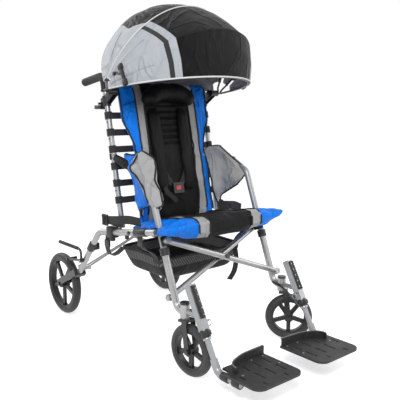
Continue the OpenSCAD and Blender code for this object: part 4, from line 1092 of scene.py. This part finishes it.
def cutPlate(bm):  # the notch and the slots
    alongY, half = Vector((0, 1, 0)), plate["slotWide"] / 2
    notchX, notchY = plate["notch"][0], plate["rear"] - plate["notch"][1]
    cuts = [(acrossX, notchX), (alongY, notchY)]
    for low, high, places in plate["slots"]:
        cuts += [(alongY, low), (alongY, high)]
        cuts += [(acrossX, x + s * half) for x in places for s in (-1, 1)]
    for normal, value in cuts:
        cutAcross(bm, at(value, value, 0), normal, 1e-6)
    gone = []
    for face in bm.faces:
        c = face.calc_center_median()
        x, y = c.x * 1000, drawnY(c)
        slots = [places for low, high, places in plate["slots"] if low < y < high]
        if (x > notchX and y > notchY) or any(abs(x - p) < half for places in slots for p in places):
            gone.append(face)
    bmesh.ops.delete(bm, geom=gone, context="FACES")


def makePlate(name, side):
    bm = bmesh.new()
    bmesh.ops.create_grid(bm, x_segments=1, y_segments=1, size=0.5)
    for v in bm.verts:
        v.co = at(mix(plate["inner"], plate["outer"], v.co.x + 0.5), mix(plate["front"], plate["rear"], v.co.y + 0.5),
                  plate["top"])
    corners = [v for v in bm.verts if drawnY(v.co) < plate["front"] + 5]
    bmesh.ops.bevel(bm, geom=corners, offset=plate["round"], segments=10, profile=0.5, affect="VERTICES", material=-1)
    cutPlate(bm)
    bmesh.ops.solidify(bm, geom=bm.faces[:], thickness=plate["thick"])
    faceOut(bm)
    guard = roundPath([at(x, y, plate["top"] - 1) for x, y in plate["guard"]], 8)
    heights = [mix(*plate["guardTall"], i / len(guard)) for i in range(len(guard))]
    upper, wall = drawnOut(bm, guard)
    for v, tall in zip(sorted(upper, key=lambda v: -v.co.x), heights):
        v.co.z += tall
    bmesh.ops.recalc_face_normals(bm, faces=wall)
    bmesh.ops.solidify(bm, geom=wall, thickness=plate["guardThick"])
    for y in plate["hubs"]:
        ends = [at(drawing["sideHalf"], y + s * plate["hubHalf"], plate["hubZ"]) for s in (-1, 1)]
        rodMesh(bm, *ends, plate["hubRadius"], 28, 0.002)
    faceOut(bm)
    if side < 0:
        bmesh.ops.scale(bm, vec=(-1, 1, 1), verts=bm.verts)
        bmesh.ops.reverse_faces(bm, faces=bm.faces)
    obj = placeMesh(bm, name + "Footboard", ["plateTop"], sharp=35)
    edge = obj.modifiers.new("edge", "BEVEL")
    edge.width = plate["edge"]
    edge.segments = 2
    edge.limit_method = "ANGLE"
    edge.angle_limit = math.radians(50)
    addPiece(obj, name + "_plate", [name + "_footplate"])
    # a lighter tube along the guard's top: a painted highlight
    tops = [Vector((side * p.x, p.y + 0.002, p.z + tall)) for p, tall in zip(guard, heights)]
    addTube(name + "GuardPaintedHighlight", [tops], plate["guardPaintedHighlight"], "guardPaintedHighlight", name + "_plate", "black_plastic", sides=2)
    rivets = [[at(side * x, y, plate["top"] + up) for up in plate["rivetZ"]] for x, y in plate["rivets"]]
    addHard(name + "PlateRivets", name + "_plate", "silver_tube",
            [(*ends, plate["rivetRadius"], 14, 0.0005) for ends in rivets], mat="greyTube")


# hangers: adjusting strip, pull ring, clamp, bend sleeve and stay rod

hanger = {
    "top": (-402, 332), "low": (-481, 190), "half": 0.014, "elbow": (-552.2, 62), "foot": (-574, 62),
    "stripStart": 0.006, "strip": (0.020, 0.116, 0.006), "lane": 0.005,  # teeth and holes lie off centre
    "teeth": 13, "tooth": (0.008, 0.0045, 0.0036), "holes": 5, "holeRadius": 0.0028,
    "clampRadius": 0.0165, "clampBlock": (0.020, 0.018, 0.012), "bandRadius": 0.0145,
    "pinUp": 0.030, "pinLong": 0.016, "pinRadius": 0.004, "ringRadius": 0.011, "ringWire": 0.0014,
    "sleeveFrom": (0.66, 0.80, 0.86), "sleeveRadius": 0.0135, "stayRadius": 0.0042,
    "stay": [(243, -330, 234), (232, -352, 232), (226, -400, 226), (228, -440, 205), (233, -470, 178),
             (236, -484, 168)],
}


def makeHangerTrim(name, side):
    body, outer = name + "_frame", acrossX * side
    top, low, elbow, foot = (at(side * drawing["sideHalf"], *hanger[key]) for key in ("top", "low", "elbow", "foot"))
    down = (low - top).normalized()
    out = acrossX.cross(down)
    if out.y > 0:
        out = -out
    axes = (acrossX, down, out)
    start = top + out * hanger["half"] + down * hanger["stripStart"]
    _, long, thick = hanger["strip"]
    teeth, holes = ([start + down * (long * (i + 0.5) / hanger[key]) for i in range(hanger[key])]
                    for key in ("teeth", "holes"))
    boxes = [(start + down * long / 2 + out * thick / 2, hanger["strip"], 0.0012, axes)]
    boxes += [(p + out * 0.0068 + outer * hanger["lane"], hanger["tooth"], 0.0008, axes) for p in teeth]
    addHard(name + "AdjustStrip", body, "black_plastic", boxes=boxes)
    spots = [p + out * 0.0061 - outer * hanger["lane"] for p in holes]
    addHard(name + "StripHoles", body, "silver_tube",
            [(p, p + out * 0.0006, hanger["holeRadius"], 14, 0.0002) for p in spots], mat="greyTube")
    addHard(name + "TubeClamp", body, "black_plastic",
            [(low - down * 0.004, low + down * 0.024, hanger["clampRadius"], 28, 0.002)],
            [(low + down * 0.010 + out * 0.017, hanger["clampBlock"], 0.002, axes)])
    pin = low - down * hanger["pinUp"] - outer * hanger["half"]
    pinEnd = pin - outer * hanger["pinLong"]
    addHard(name + "ClampBand", body, "silver_tube",
            [(low + down * 0.0245, low + down * 0.0325, hanger["bandRadius"], 28, 0.001),
             (pin, pinEnd, hanger["pinRadius"], 16, 0.0008)])
    wire = ring(pinEnd + down * 0.008, outer * 0.002 + down * hanger["ringRadius"], out * hanger["ringRadius"], 28)
    addTube(name + "PullRing", [wire], hanger["ringWire"], "silverTube", body, "silver_tube", closed=True)
    first, second, knee = (mix(low, elbow, share) for share in hanger["sleeveFrom"])
    bend = [first, second] + [mix(mix(knee, elbow, t), mix(elbow, foot, t), t) for t in spread(0, 1, 10)]
    addTube(name + "BendSleeve", [bend], hanger["sleeveRadius"], "greyTube", name + "_footrest", "grey_tube", sides=6)
    stay = drawnPath(side, hanger["stay"])
    addTube(name + "StayRod", [stay], hanger["stayRadius"], "blackSteel", body, "black_steel")


# black sleeves on the rear of each arm

sleeve = {"radius": 0.0165, "span": (0.50, 0.93), "steps": 30}


def makeSleeve(name, side):
    path = [mix(*armEnds(side), t) for t in spread(*sleeve["span"], sleeve["steps"])]
    scales = [0.86 + 0.2 * math.sin(math.pi * t) for t in spread(0, 1, sleeve["steps"])]
    obj = tubeMesh(name + "ArmSleeve", [path], sleeve["radius"], "blackCloth", sides=6, scales=scales)
    addPad(obj, name + "_frame")


# canopy levers and cane brackets

lever = {"x": 297, "top": (-58, 1090), "low": (-95, 1018), "knob": (-24, 1060),
         "bracketZ": 962, "cheek": 0.011, "gripZ": 952, "screws": (612, 655, 700, 815, 880, 925)}


def makeLevers():
    for name, side in foldSide.items():
        body, outer = name + "_frame", acrossX * side
        top, low, knob = (at(side * lever["x"], *lever[key]) for key in ("top", "low", "knob"))
        up = (top - low).normalized()
        axes = (acrossX, up, acrossX.cross(up))
        blocks = [(0.5, (0.010, (top - low).length, 0.014)), (0.9, (0.013, 0.020, 0.024)),
                  (0.12, (0.014, 0.024, 0.020))]
        obj = addHard(name + "CanopyLever", "canopy_visor_body", "black_plastic",
                      [(mix(low, top, 0.55), knob, 0.004, 14, 0.001),
                       (knob - outer * 0.010, knob + outer * 0.008, 0.0075, 18, 0.0015)],
                      [(mix(low, top, share), size, 0.003, axes) for share, size in blocks])
        foldCanopy(obj)
        foot, knee = onCane(side, lever["bracketZ"]), at(side * drawing["sideHalf"], *canopy["hinge"])
        lean, grip = (knee - foot).normalized(), onCane(side, lever["gripZ"], 22)
        boxes = [(mix(foot, knee, 0.5) + outer * s * lever["cheek"], (0.004, (knee - foot).length, 0.034), 0.0015,
                  (acrossX, lean, acrossX.cross(lean))) for s in (-1, 1)]
        boxes += [(grip, (0.022, 0.022, 0.046), 0.004),
                  (grip + outer * 0.016 + Vector((0, 0.020, -0.014)), (0.012, 0.046, 0.016), 0.004)]
        addHard(name + "CaneBracket", body, "black_plastic",
                [(grip - outer * 0.022, grip + outer * 0.026, 0.005, 18, 0.001)], boxes)
        spots = [onCane(side, z, -1, 11) for z in lever["screws"]]
        addHard(name + "CaneScrews", body, "black_steel",
                [(p - outer * 0.004, p + outer * 0.0016, 0.0034, 14, 0.0006) for p in spots])


# fittings on the seat rails, with the loose strap and its ladder buckle

rail = {
    "collars": [(-196, -120, 0.0154), (24, 66, 0.0165)], "blockY": 45, "block": (0.036, 0.040, 0.044),
    "pegs": [(45, (-34, 0), (-18, 0), 0.011, 24, 0.002),  # y, both ends up and out from the rail, then the rod
             (-60, (-26, 0), (-12, 0), 0.008, 20, 0.0015), (-92, (0, 10), (0, 17), 0.007, 20, 0.0015)],
    "legBend": (150, 431), "legEnd": (326, 226), "clampShare": 0.34, "clampBlock": (0.030, 0.036, 0.030),
    "pedal": (304, 339.4), "pedalY": (296, 340, 400, 440, 464), "pedalRadius": 0.0078,
    "loop": [(262, -122, 510), (277, -66, 513), (293, -12, 506), (300, 40, 500), (302, 76, 498), (298, 96, 496),
             (288, 99, 494), (281, 84, 494), (280, 40, 493), (281, 0, 492), (279, -30, 496)], "loopWide": 0.034,
    "buckle": (304, 62, 499), "rungs": (-1.5, -0.5, 0.5, 1.5), "rung": (0.007, 0.0045, 0.040),
    "bar": (0.008, 0.040, 0.004),
}


def makeRailTrim():
    for name, side in foldSide.items():
        body = name + "_frame"
        rods = [(onRail(side, y0), onRail(side, y1), radius, 28, 0.002) for y0, y1, radius in rail["collars"]]
        rods += [(onRail(side, y, *start), onRail(side, y, *end), *shape) for y, start, end, *shape in rail["pegs"]]
        addHard(name + "RailFittings", body, "black_plastic", rods,
                [(onRail(side, rail["blockY"], 2), rail["block"], 0.004)])
        bend, end = (at(side * drawing["railX"], *rail[key]) for key in ("legBend", "legEnd"))
        reach, spot = (end - bend).normalized() * 0.020, mix(bend, end, rail["clampShare"])
        addHard(name + "LegClamp", body, "black_plastic",
                [(spot - reach, spot + reach, 0.0175, 28, 0.003)],
                [(spot - acrossX * side * 0.012, rail["clampBlock"], 0.005)])
        x, z = rail["pedal"]
        addTube(name + "PedalSleeve", [[at(side * x, y, z) for y in rail["pedalY"]]], rail["pedalRadius"], "foamGrip",
                name + "_brake", "foam_grip", sides=5)
        loop = drawnPath(side, rail["loop"], 6)
        addStrap(name + "LooseLoop", [loop], rail["loopWide"], 0.0024, [Vector((side * 0.12, 0, 0.99)).normalized()],
                 body, (rail["loopWide"], runLength(loop)), "hung", [name + "_seat_rail"])
        x, y, z = rail["buckle"]
        spot = at(side * x, y, z)
        boxes = [(spot + Vector((0, 0.011 * step, 0)), rail["rung"], 0.0012) for step in rail["rungs"]]
        boxes += [(spot + Vector((0, 0, s * 0.020)), rail["bar"], 0.0012) for s in (-1, 1)]
        addHard(name + "LadderBuckle", body, "black_plastic", boxes=boxes)


# basket straps, their loose tails, the chest strap and its ring

straps = {
    "wide": 0.034, "thick": 0.0022, "buckle": (0.009, 0.034, 0.028), "belowRail": 13,
    "hung": [(0.16, [(282, -1), (279, 22), (262, 54), (232, 72), (213, 92), (207, 118)]),  # share along the basket,
             (0.88, [(282, -1), (284, 26), (284, 56), (270, 82), (240, 80), (209, 60)])],  # then x and depth
    "ring": (-113, -32, 536), "ringWire": 0.0016,
    "chest": [(-78, -30, 618), (-64, -36, 594), (-42, -38, 576), (-20, -36, 556)], "chestWide": 0.020,
    "tails": [[(-196, -192, 376), (-198, -203, 340), (-196, -207, 300), (-188, -214, 262), (-178, -220, 232)],
              [(150, -196, 380), (152, -206, 352), (148, -214, 312), (128, -224, 274), (96, -230, 246)]],
    "tailFaces": [(0.9, -0.4, 0), (0.85, -0.35, -0.25)], "tailWide": 0.022, "looseThick": 0.002,
}


def makeBasketStraps():
    for name, side in foldSide.items():
        runs = []
        for share, lines in straps["hung"]:
            y = mix(basket["front"], basket["rear"], share)
            runs.append(drawnPath(side, [(x, y, railZ(y) - straps["belowRail"] - down) for x, down in lines], 6))
        addStrap(name + "BasketStraps", runs, straps["wide"], straps["thick"], [Vector((0, 1, 0))] * 2,
                 name + "_frame", (0.068, max(runLength(run) for run in runs)), "stretched",
                 [name + "_seat_rail"], fold=name)
        addHard(name + "StrapBuckles", name + "_frame", "black_plastic",
                boxes=[(mix(run[6], run[8], 0.5), straps["buckle"], 0.002) for run in runs], fold=name)
    wire = ring(at(*straps["ring"]), Vector((0.86, -0.5, 0)) * 0.011, Vector((0.1, 0.1, 0.98)) * 0.008, 24)
    addTube("strapRing", [wire], straps["ringWire"], "brightPin", "right_frame", "silver_tube", fold="right",
            closed=True)
    run = drawnPath(1, straps["chest"], 6)
    addStrap("chestStrap", [run], straps["chestWide"], straps["looseThick"], [Vector((0.7, 0, 0.7)).normalized()],
             "right_frame", (straps["chestWide"], runLength(run)), "hung", ["backCover"], fold="right")
    runs = [drawnPath(1, points) for points in straps["tails"]]
    addStrap("strapTails", runs, straps["tailWide"], straps["looseThick"],
             [Vector(way).normalized() for way in straps["tailFaces"]], "right_frame",
             (0.044, runLength(runs[1])), "hung", ["basket"], fold="right")


for sideName, sideSign in foldSide.items():
    makePlate(sideName, sideSign)
    makeHangerTrim(sideName, sideSign)
    makeSleeve(sideName, sideSign)
print("footplates, hanger trim and sleeves made")
makeLevers()
makeRailTrim()
makeBasketStraps()
print("levers, rail fittings and straps made")
